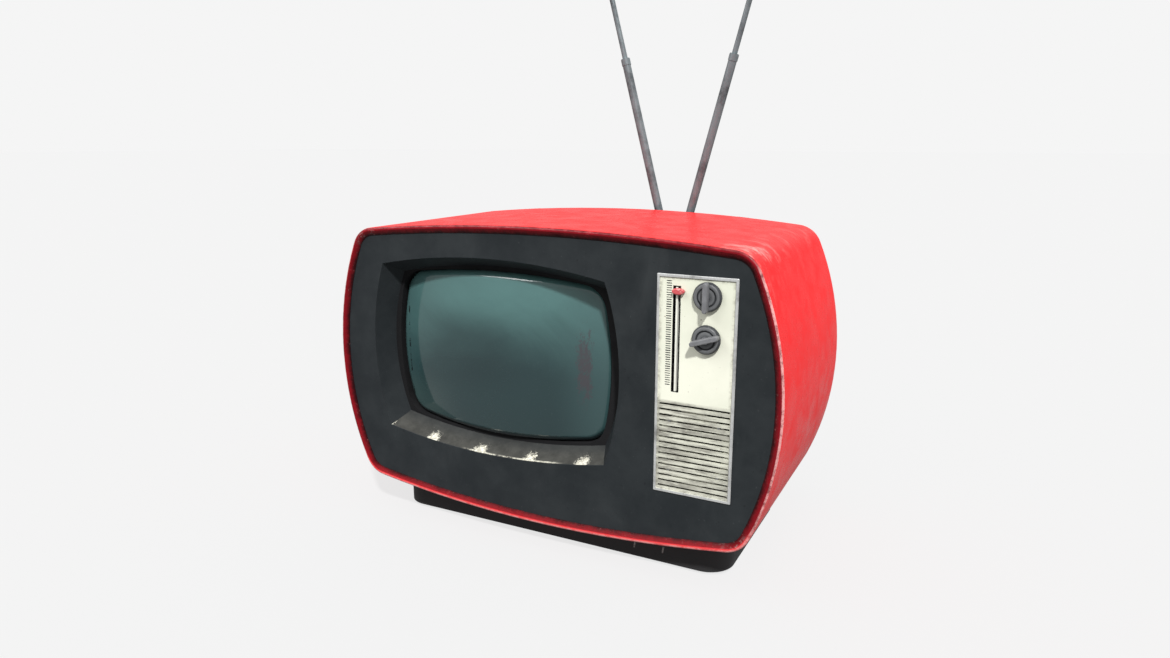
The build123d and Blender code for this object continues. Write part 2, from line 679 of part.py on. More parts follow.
def make_tuner_box():
    """Screened tuner that the tuning shaft drives."""
    front = WHEEL_BACK_Y + 3
    left = KNOB_X - TUNER_HALF_WIDTH
    right = KNOB_X + TUNER_HALF_WIDTH
    body = block(left, right, front, front + TUNER_LENGTH, TUNING_Z - 22, TUNING_Z + 18)
    body -= rod(KNOB_X, TUNING_Z, SHAFT_RADIUS + RUNNING_GAP, front - 1, front + 12.5)
    for row in range(3):
        for column in range(2):
            x = KNOB_X - 13 + 26 * column
            y = front + 14 + 15 * row
            body -= Pos(x, y, TUNING_Z + 18) * Cylinder(2.5, 2)
    posts = [block(KNOB_X + 16, KNOB_X + 21, BRACKET_Y + BRACKET_THICKNESS, front, z, z + 3)
             for z in (TUNING_Z - 21, TUNING_Z + 14)]
    return body + posts


# ------------------------------------------------------------ loudspeaker

def make_speaker_frame():
    """Pressed steel basket with a flat rim."""
    rim = rod(SPEAKER_X, SPEAKER_Z, SPEAKER_RADIUS, PANEL_BACK_Y, PANEL_BACK_Y + 1.4)
    wide = on_front(Pos(SPEAKER_X, SPEAKER_Z) * Circle(SPEAKER_RADIUS - 5), PANEL_BACK_Y + 1.0)
    tight = on_front(Pos(SPEAKER_X, SPEAKER_Z) * Circle(15), PANEL_BACK_Y + 20)
    basket = loft([wide, tight])
    wide_in = on_front(Pos(SPEAKER_X, SPEAKER_Z) * Circle(SPEAKER_RADIUS - 6.4), PANEL_BACK_Y - 0.1)
    tight_in = on_front(Pos(SPEAKER_X, SPEAKER_Z) * Circle(13.8), PANEL_BACK_Y + 18.8)
    cuts = [loft([wide_in, tight_in])]
    for index in range(4):
        spoke = Pos(SPEAKER_X, PANEL_BACK_Y + 11, SPEAKER_Z) * Rot(0, 90 * index, 0)
        cuts.append(spoke * Pos(21, 0, 0) * Box(14, 9, 16))
    cuts += [rod(x, z, 1.5, PANEL_BACK_Y - 1, PANEL_BACK_Y + 3) for x, z in speaker_screw_places()]
    return rim + basket - cuts


def make_speaker_cone():
    """Paper cone with its dust cap."""
    wide = on_front(Pos(SPEAKER_X, SPEAKER_Z) * Circle(SPEAKER_RADIUS - 8), PANEL_BACK_Y + 1.0)
    tight = on_front(Pos(SPEAKER_X, SPEAKER_Z) * Circle(8), PANEL_BACK_Y + 14)
    cone = loft([wide, tight])
    wide_in = on_front(Pos(SPEAKER_X, SPEAKER_Z) * Circle(SPEAKER_RADIUS - 8.6), PANEL_BACK_Y + 0.9)
    tight_in = on_front(Pos(SPEAKER_X, SPEAKER_Z) * Circle(7.2), PANEL_BACK_Y + 13.2)
    return cone - loft([wide_in, tight_in])


def make_speaker_magnet():
    """Ring magnet and its pole plates."""
    front = PANEL_BACK_Y + 20
    plate = rod(SPEAKER_X, SPEAKER_Z, 17, front, front + 2.5)
    magnet = rod(SPEAKER_X, SPEAKER_Z, 20, front + 2.5, front + 10)
    return plate + magnet + rod(SPEAKER_X, SPEAKER_Z, 17, front + 10, front + 12.5)


def make_speaker_screws():
    """Four screws round the loudspeaker's rim."""
    seat = PANEL_BACK_Y + 1.4
    return Part() + [screw(x, z, 1.2, 2.0, PANEL_BACK_Y - 1.3, seat, 1.4) for x, z in speaker_screw_places()]


# ---------------------------------------------------------------- chassis

BOARD_Z = -108.0
BOARD_THICKNESS = 1.6
BOARD_HALF_WIDTH = 160.0
BOARD_Y = (58.0, 190.0)
BOARD_SCREW_Y = (75.0, 180.0)
RAIL_X = 140.0
RAIL_Y = (52.0, 192.0)
RAIL_FOOT_Z = -140.0


def make_chassis_rails():
    """Two steel rails along the cabinet floor that carry the circuit board."""
    rails = []
    for x in (-RAIL_X, RAIL_X):
        rail = block(x - 8, x + 8, *RAIL_Y, RAIL_FOOT_Z, BOARD_Z)
        rails.append(rail & cabinet_body(SHELL_WALL, 40, 210))
    holes = [Pos(x, y, -122) * Cylinder(2.0, 20) for x, y in PLINTH_SCREWS]
    holes += [Pos(x, y, BOARD_Z) * Cylinder(1.5, 12) for x in (-RAIL_X, RAIL_X) for y in BOARD_SCREW_Y]
    return Part() + rails - holes


def make_board():
    """Main circuit board."""
    top = BOARD_Z + BOARD_THICKNESS
    body = block(-BOARD_HALF_WIDTH, BOARD_HALF_WIDTH, *BOARD_Y, BOARD_Z, top)
    holes = [Pos(x, y, BOARD_Z) * Cylinder(1.7, 8) for x in (-RAIL_X, RAIL_X) for y in BOARD_SCREW_Y]
    small = []
    for row in range(3):
        for column in range(7):
            x = -84 + 26 * column
            y = 72 + 22 * row
            small.append(block(x - 5, x + 5, y - 2, y + 2, top, top + 4))
    return body - holes + small


def make_board_screws():
    """Four screws that hold the circuit board to its rails."""
    top = BOARD_Z + BOARD_THICKNESS
    screws = []
    for x in (-RAIL_X, RAIL_X):
        for y in BOARD_SCREW_Y:
            screws.append(Pos(x, y, top + 1) * Cylinder(3, 2) + Pos(x, y, top - 2.7) * Cylinder(1.4, 5.4))
    return Part() + screws


def make_flyback():
    """Line output transformer with its ferrite frame."""
    top = BOARD_Z + BOARD_THICKNESS
    pot = Pos(-110, 150, top + 22) * Cylinder(17, 44)
    core = block(-140, -104, 142, 158, top, top + 52) - block(-132, -112, 141, 159, top + 9, top + 43)
    return pot + core + Pos(-110, 150, top + 47) * Cylinder(8, 8)


def make_transformer():
    """Mains transformer with a laminated core."""
    top = BOARD_Z + BOARD_THICKNESS
    core = block(92, 152, 128, 172, top, top + 50)
    core -= [block(91, 153, 120, 132, top + 9, top + 41), block(91, 153, 168, 180, top + 9, top + 41)]
    coil = block(104, 140, 122, 178, top + 9.5, top + 40.5)
    return core + coil


CAPACITOR_CANS = ((40, 165, 13, 40), (70, 165, 11, 36), (0, 168, 9, 30), (-25, 168, 8, 26), (-60, 160, 9, 24))


def make_capacitors():
    """Smoothing capacitors standing on the board, each with its place, radius and height."""
    top = BOARD_Z + BOARD_THICKNESS
    cans = []
    for x, y, radius, height in CAPACITOR_CANS:
        can = Pos(x, y, top + height / 2) * Cylinder(radius, height)
        cans.append(chamfer(can.faces().sort_by(Axis.Z)[-1].edges(), 1.2))
    return Part() + cans


def make_heat_sink():
    """Finned aluminium heat sink."""
    top = BOARD_Z + BOARD_THICKNESS
    plate = block(104, 156, 84, 87, top, top + 34)
    fins = [block(104 + 8 * index, 106 + 8 * index, 87, 102, top + 5, top + 34) for index in range(7)]
    return plate + fins


# ------------------------------------------------------------- rear cover

CONTROL_X = 112.0
CONTROL_HEIGHTS = (-8.0, -30.0, -52.0)
REAR_SHAFT_RADIUS = 2.0
INLET_X = 150.0
INLET_Z = -78.0
TERMINAL_X = 112.0
TERMINAL_Z = 48.0
TERMINAL_STEPS = (-21.0, -7.0, 7.0, 21.0)
WELL_LEFT = -1.0
WELL_RIGHT = 85.0
WELL_BACK_Y = 242.0
WELL_FLOOR_Z = 109.0
WELL_TOP_Z = 150.0


def cover_shape(inset, y_end):
    """Tapered outside of the rear cover, or the space in it."""
    narrow_y = COVER_BACK_Y - COVER_EDGE
    front = cabinet_outline(COVER_INSET + inset)
    back = cabinet_outline(COVER_INSET + COVER_TAPER + inset)
    shape = taper(front, SHELL_DEPTH, back, narrow_y)
    if y_end > narrow_y:
        edge = cabinet_outline(COVER_INSET + COVER_TAPER + COVER_EDGE)
        shape += taper(back, narrow_y, edge, COVER_BACK_Y)
    return shape


def hump_shape(inset, y0, y1):
    """Raised box that makes room for the neck of the tube."""
    wide = RectangleRounded(HUMP_WIDTH - 2 * inset, HUMP_HEIGHT - 2 * inset, HUMP_CORNER - inset)
    shrink = 2 * (inset + HUMP_TAPER)
    tight = RectangleRounded(HUMP_WIDTH - shrink, HUMP_HEIGHT - shrink, HUMP_CORNER - inset)
    return taper(Pos(TUBE_X, TUBE_Z) * wide, y0, Pos(TUBE_X, TUBE_Z) * tight, y1)


def vent_row(x_centre, z, count, pitch, height, y0, y1):
    """Row of narrow upright vent slots."""
    first = x_centre - pitch * (count - 1) / 2
    return [slab(Pos(first + pitch * index, z) * Rot(0, 0, 90) * SlotOverall(height, 3.0), y0, y1)
            for index in range(count)]


def make_rear_cover():
    """Black rear cover: tapered, vented, with a hump, screw tunnels and antenna well."""
    outside = cover_shape(0, COVER_BACK_Y)
    well_wall = 2.5
    well_outer = block(WELL_LEFT - well_wall, WELL_RIGHT + well_wall, SHELL_DEPTH, WELL_BACK_Y + well_wall,
                       WELL_FLOOR_Z - well_wall, WELL_TOP_Z)
    well_inner = block(WELL_LEFT, WELL_RIGHT, SHELL_DEPTH + well_wall, WELL_BACK_Y, WELL_FLOOR_Z, WELL_TOP_Z)
    screw_places = mirrored_points(COVER_SCREW_X, COVER_SCREW_Z)
    tunnels = [rod(x, z, 7.0, SHELL_DEPTH, COVER_BACK_Y) for x, z in screw_places]
    body = outside - cover_shape(COVER_WALL, COVER_BACK_Y - COVER_EDGE)
    body += hump_shape(0, COVER_BACK_Y - COVER_WALL, HUMP_BACK_Y)
    body += [tunnel & outside for tunnel in tunnels]
    body += well_outer & outside
    cuts = [hump_shape(COVER_WALL, COVER_BACK_Y - COVER_EDGE - 0.01, HUMP_BACK_Y - COVER_WALL), well_inner]
    for x, z in screw_places:
        cuts.append(rod(x, z, 4.8, SHELL_DEPTH + 3, COVER_BACK_Y + 1))
        cuts.append(rod(x, z, 2.2, SHELL_DEPTH - 1, SHELL_DEPTH + 4))
    back = (COVER_BACK_Y - COVER_EDGE - 1, COVER_BACK_Y + 1)
    cuts += vent_row(TUBE_X, 96, 15, 9, 22, *back)
    cuts += vent_row(TUBE_X, -78, 15, 9, 26, *back)
    cuts += vent_row(TUBE_X, TUBE_Z, 11, 9, 70, HUMP_BACK_Y - COVER_WALL - 1, HUMP_BACK_Y + 1)
    cuts += [rod(CONTROL_X, z, 3.0, *back) for z in CONTROL_HEIGHTS]
    cuts.append(slab(panel(INLET_X - 12, INLET_X + 12, INLET_Z - 8, INLET_Z + 8), *back))
    return body - cuts


def make_cover_screws():
    """Four long screws that hold the rear cover to the cabinet."""
    seat = SHELL_DEPTH + 3
    places = mirrored_points(COVER_SCREW_X, COVER_SCREW_Z)
    return Part() + [screw(x, z, 1.9, 4.2, 202, seat, 3) for x, z in places]


def make_inlet():
    """Two-pin mains inlet set into the rear cover."""
    flange = slab(Pos(INLET_X, INLET_Z) * RectangleRounded(34, 22, 3), COVER_BACK_Y, COVER_BACK_Y + 1.6)
    case = panel(INLET_X - 11.8, INLET_X + 11.8, INLET_Z - 7.8, INLET_Z + 7.8)
    body = flange + slab(case, COVER_BACK_Y - 22, COVER_BACK_Y)
    well = slab(Pos(INLET_X, INLET_Z) * SlotOverall(17, 8.6), COVER_BACK_Y - 16, COVER_BACK_Y + 3)
    pins = [rod(INLET_X + dx, INLET_Z, 1.2, COVER_BACK_Y - 16.5, COVER_BACK_Y - 3) for dx in (-4.3, 4.3)]
    return body - well + pins


def make_terminals():
    """Insulating board with four aerial terminals."""
    board = slab(Pos(TERMINAL_X, TERMINAL_Z) * RectangleRounded(58, 22, 2), COVER_BACK_Y, COVER_BACK_Y + 3)
    holes = [rod(TERMINAL_X + dx, TERMINAL_Z, 1.8, COVER_BACK_Y + 0.8, COVER_BACK_Y + 4)
             for dx in TERMINAL_STEPS]
    return board - holes


def make_terminal_screws():
    """Four terminal screws with their washers."""
    screws = []
    for dx in TERMINAL_STEPS:
        x = TERMINAL_X + dx
        washer = rod(x, TERMINAL_Z, 4.4, COVER_BACK_Y + 3, COVER_BACK_Y + 3.8)
        body = screw(x, TERMINAL_Z, 1.7, 3.3, COVER_BACK_Y + 1, COVER_BACK_Y + 3.8, 2.4)
        screws.append(washer + body)
    return Part() + screws


def make_rear_pots():
    """Three preset controls behind the rear cover."""
    pots = []
    back = COVER_BACK_Y - COVER_EDGE
    for z in CONTROL_HEIGHTS:
        pot = rod(CONTROL_X, z, 8, back - 12, back)
        pots.append(pot - rod(CONTROL_X, z, REAR_SHAFT_RADIUS + RUNNING_GAP, back - 9, back + 1))
    return Part() + pots


def make_rear_knob(z):
    """Small ribbed knob with its own spindle."""
    front = COVER_BACK_Y + 0.5
    body = rod(CONTROL_X, z, 6.6, front, front + 7)
    body = chamfer(body.faces().sort_by(Axis.Y)[-1].edges(), 0.8)
    grooves = []
    for index in range(18):
        angle = 2 * math.pi * index / 18
        x = CONTROL_X + 6.9 * math.cos(angle)
        grooves.append(rod(x, z + 6.9 * math.sin(angle), 0.6, front - 1, front + 8))
    body -= grooves
    body -= block(CONTROL_X - 0.5, CONTROL_X + 0.5, front + 6.2, front + 8, z, z + 6)
    spindle = rod(CONTROL_X, z, REAR_SHAFT_RADIUS, COVER_BACK_Y - COVER_EDGE - 8, front)
    return body + spindle


# ---------------------------------------------------------------- antenna

def hinge_x(side):
    """X of the hinge of the left (-1) or right (+1) mast."""
    return ANTENNA_X + side * HINGE_HALF_GAP


def make_antenna_base():
    """Insulating block with two forks, screwed into the well of the rear cover."""
    front = ANTENNA_Y - 8
    back = ANTENNA_Y + 8
    body = block(ANTENNA_X - 30, ANTENNA_X + 30, front, back, WELL_FLOOR_Z, WELL_FLOOR_Z + 8)
    for side in (-1, 1):
        x = hinge_x(side)
        ear = rod(x, ANTENNA_Z, 6.0, front, back)
        ear += block(x - 6, x + 6, front, back, WELL_FLOOR_Z + 8, ANTENNA_Z)
        body += ear
    for side in (-1, 1):
        x = hinge_x(side)
        body -= block(x - 14, x + 14, ANTENNA_Y - 4.8, ANTENNA_Y + 4.8, ANTENNA_Z - 6.4, ANTENNA_Z + 10)
        body -= rod(x, ANTENNA_Z, 1.95, front - 1, back + 1)
    return body


def make_antenna_pins():
    """Two hinge pins with round heads."""
    pins = []
    for side in (-1, 1):
        pin = rod(hinge_x(side), ANTENNA_Z, 1.9, ANTENNA_Y - 8, ANTENNA_Y + 8)
        pins.append(pin + rod(hinge_x(side), ANTENNA_Z, 3.4, ANTENNA_Y + 8, ANTENNA_Y + 9.6))
    return Part() + pins


def leaning(side, shape):
    """Tilt an upright shape built at the origin to its mast's rest angle."""
    return Pos(hinge_x(side), ANTENNA_Y, ANTENNA_Z) * Rot(0, side * LEAN, 0) * shape


def upright(radius, start, end):
    """Round bar along +Z between two distances from the hinge."""
    return Pos(0, 0, (start + end) / 2) * Cylinder(radius, end - start)


def make_mast(side):
    """Widest tube of a telescopic mast, with its hinge knuckle."""
    knuckle = Rot(90, 0, 0) * Cylinder(KNUCKLE_RADIUS, 9.2)
    body = knuckle + upright(MAST_RADIUS, 3, MAST_END)
    body += upright(MAST_RADIUS + 0.45, MAST_END - 7, MAST_END - 0.6)
    body -= upright(MIDDLE_RADIUS + RUNNING_GAP, 12, MAST_END + 1)
    body -= Rot(90, 0, 0) * Cylinder(1.9 + RUNNING_GAP, 20)
    return leaning(side, body)


def make_middle(side):
    """Middle tube of a telescopic mast."""
    body = upright(MIDDLE_RADIUS, MAST_END - 14, MIDDLE_END)
    body += upright(MIDDLE_RADIUS + 0.35, MIDDLE_END - 6, MIDDLE_END - 0.5)
    return leaning(side, body - upright(TIP_RADIUS + RUNNING_GAP, MAST_END - 15, MIDDLE_END + 1))


def make_tip(side):
    """Thin end rod of a telescopic mast, with its round tip."""
    body = upright(TIP_RADIUS, MIDDLE_END - 12, TIP_END)
    return leaning(side, body + Pos(0, 0, TIP_END) * Sphere(3.2))


# ------------------------------------------------------------------ write

save("cabinet_shell", make_shell())
save("base_plinth", make_plinth())
save("plinth_screws", make_plinth_screws())
save("rubber_feet", make_feet())
save("front_bezel", make_bezel())
save("bezel_clips", make_bezel_clips())
save("screen_gasket", make_gasket())
save("tube_face", make_tube_face())
save("tube_funnel", funnel_solid() - funnel_solid(-2.5))
save("tube_neck", make_neck())
save("rim_band", make_rim_band())
save("tube_screws", make_tube_screws())
save("deflection_yoke", make_yoke())
save("yoke_core", make_yoke_core())
save("socket_board", make_socket_board())
save("anode_cap", make_anode_cap())
save("control_panel", make_control_panel())
save("panel_trim", make_panel_trim())
save("dial_rail", make_rail())
save("control_bracket", make_bracket())
save("volume_pot", make_volume_pot())
save("volume_shaft", make_shaft(VOLUME_Z, BRACKET_Y + 7))
save("volume_knob", make_knob(VOLUME_Z, 90))
save("tuner_box", make_tuner_box())
save("tuning_shaft", make_shaft(TUNING_Z, WHEEL_BACK_Y + 15))
save("tuning_drum", grooved_wheel(KNOB_X, TUNING_Z, DRUM_CORD_RADIUS, SHAFT_RADIUS))
save("tuning_knob", make_knob(TUNING_Z, TUNING_ANGLE))
save("upper_idler", make_idler(IDLER_HIGH_Z))
save("lower_idler", make_idler(IDLER_LOW_Z))
save("idler_pins", make_idler_pins())
save("dial_cord", make_dial_cord())
save("dial_pointer", make_pointer())
save("speaker_frame", make_speaker_frame())
save("speaker_cone", make_speaker_cone())
save("speaker_magnet", make_speaker_magnet())
save("speaker_screws", make_speaker_screws())
save("chassis_rails", make_chassis_rails())
save("circuit_board", make_board())
save("board_screws", make_board_screws())
save("line_transformer", make_flyback())
save("mains_transformer", make_transformer())
save("capacitors", make_capacitors())
save("heat_sink", make_heat_sink())
save("rear_cover", make_rear_cover())
save("cover_screws", make_cover_screws())
save("mains_inlet", make_inlet())
save("aerial_terminals", make_terminals())
save("terminal_screws", make_terminal_screws())
save("rear_pots", make_rear_pots())
save("brightness_knob", make_rear_knob(CONTROL_HEIGHTS[0]))
save("contrast_knob", make_rear_knob(CONTROL_HEIGHTS[1]))
save("hold_knob", make_rear_knob(CONTROL_HEIGHTS[2]))
save("antenna_base", make_antenna_base())
save("antenna_pins", make_antenna_pins())
for name, side in (("left", -1), ("right", 1)):
    save(f"{name}_mast", make_mast(side))
    save(f"{name}_middle_rod", make_middle(side))
    save(f"{name}_tip_rod", make_tip(side))
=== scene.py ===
import json
import math
import random

import bmesh
import bpy
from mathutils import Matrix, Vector


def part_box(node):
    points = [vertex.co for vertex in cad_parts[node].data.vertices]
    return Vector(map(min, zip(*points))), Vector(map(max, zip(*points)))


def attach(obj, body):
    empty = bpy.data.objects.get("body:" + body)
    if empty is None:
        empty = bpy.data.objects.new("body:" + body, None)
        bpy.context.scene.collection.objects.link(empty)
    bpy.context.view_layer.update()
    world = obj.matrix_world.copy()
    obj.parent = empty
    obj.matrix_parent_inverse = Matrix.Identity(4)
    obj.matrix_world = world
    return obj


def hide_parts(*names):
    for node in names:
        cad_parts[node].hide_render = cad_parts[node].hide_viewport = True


# A red portable tube television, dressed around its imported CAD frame.
# Lengths are in metres. +Z is up and the screen faces -Y.

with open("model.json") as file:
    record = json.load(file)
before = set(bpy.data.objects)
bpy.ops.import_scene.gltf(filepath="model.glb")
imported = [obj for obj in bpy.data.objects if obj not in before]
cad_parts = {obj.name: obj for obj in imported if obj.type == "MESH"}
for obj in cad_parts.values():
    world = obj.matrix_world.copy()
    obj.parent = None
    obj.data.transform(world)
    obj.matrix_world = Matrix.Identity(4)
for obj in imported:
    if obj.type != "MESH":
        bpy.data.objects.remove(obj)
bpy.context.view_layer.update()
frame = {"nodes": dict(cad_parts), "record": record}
MM = 0.001

# ------------------------------------------------------------ shader kit


class Shade:
    """A material whose node tree is built with short calls."""

    def __init__(self, name, roughness=0.5, metallic=0.0, specular=0.5):
        self.mat = bpy.data.materials.new(name)
        self.mat.use_nodes = True
        self.tree = self.mat.node_tree
        self.bsdf = self.tree.nodes["Principled BSDF"]
        self.bsdf.inputs["Roughness"].default_value = roughness
        self.bsdf.inputs["Metallic"].default_value = metallic
        self.bsdf.inputs["Specular IOR Level"].default_value = specular
        self.coords = self.tree.nodes.new("ShaderNodeTexCoord").outputs["Object"]

    def put(self, socket, value):
        """Feed a socket from another socket or from a constant."""
        if isinstance(value, bpy.types.NodeSocket):
            self.tree.links.new(value, socket)
        elif socket.type == "RGBA" and len(value) == 3:
            socket.default_value = (*value, 1.0)
        else:
            socket.default_value = value

    def math(self, operation, a, b=0.0, c=0.0):
        node = self.tree.nodes.new("ShaderNodeMath")
        node.operation = operation
        for socket, value in zip(node.inputs, (a, b, c)):
            self.put(socket, value)
        return node.outputs[0]

    def times(self, a, b):
        return self.math("MULTIPLY", a, b)

    def plus(self, a, b):
        return self.math("ADD", a, b)

    def minus(self, a, b):
        return self.math("SUBTRACT", a, b)

    def xyz(self):
        node = self.tree.nodes.new("ShaderNodeSeparateXYZ")
        self.put(node.inputs[0], self.coords)
        return node.outputs

    def normal(self):
        geometry = self.tree.nodes.new("ShaderNodeNewGeometry")
        node = self.tree.nodes.new("ShaderNodeSeparateXYZ")
        self.put(node.inputs[0], geometry.outputs["Normal"])
        return node.outputs

    def stretched(self, scale):
        """Object coordinates scaled by a different amount on each axis."""
        node = self.tree.nodes.new("ShaderNodeMapping")
        self.put(node.inputs["Vector"], self.coords)
        node.inputs["Scale"].default_value = scale
        return node.outputs[0]

    def noise(self, scale, detail=4.0, rough=0.55, vector=None, distort=0.0):
        node = self.tree.nodes.new("ShaderNodeTexNoise")
        self.put(node.inputs["Vector"], vector or self.coords)
        node.inputs["Scale"].default_value = scale
        node.inputs["Detail"].default_value = detail
        node.inputs["Roughness"].default_value = rough
        node.inputs["Distortion"].default_value = distort
        return node.outputs[0]

    def cells(self, scale):
        node = self.tree.nodes.new("ShaderNodeTexVoronoi")
        self.put(node.inputs["Vector"], self.coords)
        node.inputs["Scale"].default_value = scale
        return node.outputs["Distance"]

    def remap(self, value, low, high, to_low=0.0, to_high=1.0):
        """Smooth step from one range to another, held at both ends."""
        node = self.tree.nodes.new("ShaderNodeMapRange")
        node.interpolation_type = "SMOOTHSTEP"
        for socket, given in zip(node.inputs, (value, low, high, to_low, to_high)):
            self.put(socket, given)
        return node.outputs[0]

    def blend(self, amount, first, second):
        """Mix of two colours."""
        node = self.tree.nodes.new("ShaderNodeMix")
        node.data_type = "RGBA"
        self.put(node.inputs["Factor"], amount)
        self.put(node.inputs[6], first)
        self.put(node.inputs[7], second)
        return node.outputs[2]

    def colour(self, value):
        self.put(self.bsdf.inputs["Base Color"], value)

    def rough(self, value):
        self.put(self.bsdf.inputs["Roughness"], value)

    def bump(self, height, strength=0.3, distance=0.0003):
        node = self.tree.nodes.new("ShaderNodeBump")
        node.inputs["Strength"].default_value = strength
        node.inputs["Distance"].default_value = distance
        self.put(node.inputs["Height"], height)
        self.put(self.bsdf.inputs["Normal"], node.outputs[0])

    def coat(self, weight, roughness):
        self.bsdf.inputs["Coat Weight"].default_value = weight
        self.bsdf.inputs["Coat Roughness"].default_value = roughness


def grained(name, base, variation, roughness, metallic=0.0, grain=900.0, depth=0.25, patch=35.0,
            specular=0.5, stretch=(1, 1, 1)):
    """Plain moulded, cast or sheet material: patchy tone, uneven gloss and fine grain."""
    shade = Shade(name, roughness, metallic, specular)
    where = shade.stretched(stretch)
    patches = shade.noise(patch, 5, 0.6, where)
    shade.colour(shade.blend(shade.remap(patches, 0.3, 0.7), base, variation))
    gloss = shade.noise(patch * 3, 3, 0.5, where)
    shade.rough(shade.remap(gloss, 0.3, 0.7, roughness * 0.85, min(1, roughness * 1.2)))
    shade.bump(shade.noise(grain, 2, 0.5, where), depth, 0.0001)
    return shade


# Cabinet outline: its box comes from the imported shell, the rest repeats the CAD's numbers
SHELL_LOW, SHELL_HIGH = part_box("cabinet_shell")
SHELL_MIDDLE_Z = 0.163
CORNER_X = 0.1912
CORNER_Z = 0.1223
CORNER_RADIUS = 0.0252
CORNER_ANGLES = (math.radians(57.2), math.radians(54.3))


def arc_inset(shade, along, across, reach, half, base):
    """Distance inside one bowed side that bulges from base to reach over its half length."""
    rise = reach - base
    radius = (half * half + rise * rise) / (2 * rise)
    across = shade.plus(across, radius - reach)
    along_squared = shade.times(along, along)
    span = shade.math("SQRT", shade.math("MULTIPLY_ADD", across, across, along_squared))
    return shade.minus(radius, span)


def corner_inset(shade, first, second, angle):
    """Distance inside two sides that meet in a rounded corner."""
    turn = math.cos(angle)
    a = shade.math("MAXIMUM", shade.minus(CORNER_RADIUS, first), 0.0)
    b = shade.math("MAXIMUM", shade.minus(CORNER_RADIUS, second), 0.0)
    u = shade.math("MAXIMUM", a, shade.times(b, turn))
    v = shade.math("MAXIMUM", b, shade.times(a, turn))
    squares = shade.math("MULTIPLY_ADD", u, u, shade.times(v, v))
    cross = shade.times(shade.times(u, v), 2 * turn)
    span = shade.math("SQRT", shade.math("MAXIMUM", shade.minus(squares, cross), 0.0))
    return shade.math("MULTIPLY_ADD", span, -1 / math.sin(angle), CORNER_RADIUS)


def outline_inset(shade):
    """Distance from the cabinet's outer surface, seen from the front, as a socket."""
    x, _, z = shade.xyz()
    rise = shade.minus(z, SHELL_MIDDLE_Z)
    width = shade.math("ABSOLUTE", x)
    top = arc_inset(shade, x, rise, SHELL_HIGH.z - SHELL_MIDDLE_Z, CORNER_X, CORNER_Z)
    drop = shade.times(rise, -1.0)
    low = arc_inset(shade, x, drop, SHELL_MIDDLE_Z - SHELL_LOW.z, CORNER_X, CORNER_Z)
    side = arc_inset(shade, rise, width, SHELL_HIGH.x, CORNER_Z, CORNER_X)
    upper = corner_inset(shade, top, side, CORNER_ANGLES[0])
    lower = corner_inset(shade, low, side, CORNER_ANGLES[1])
    return shade.math("MINIMUM", upper, lower)


# -------------------------------------------------------------- materials

FRONT_Y = SHELL_LOW.y
PANEL_LOW, PANEL_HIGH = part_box("control_panel")
PANEL_Y = PANEL_LOW.y
GLASS_LOW, GLASS_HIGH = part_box("tube_face")
RAIL_LOW, RAIL_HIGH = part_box("dial_rail")


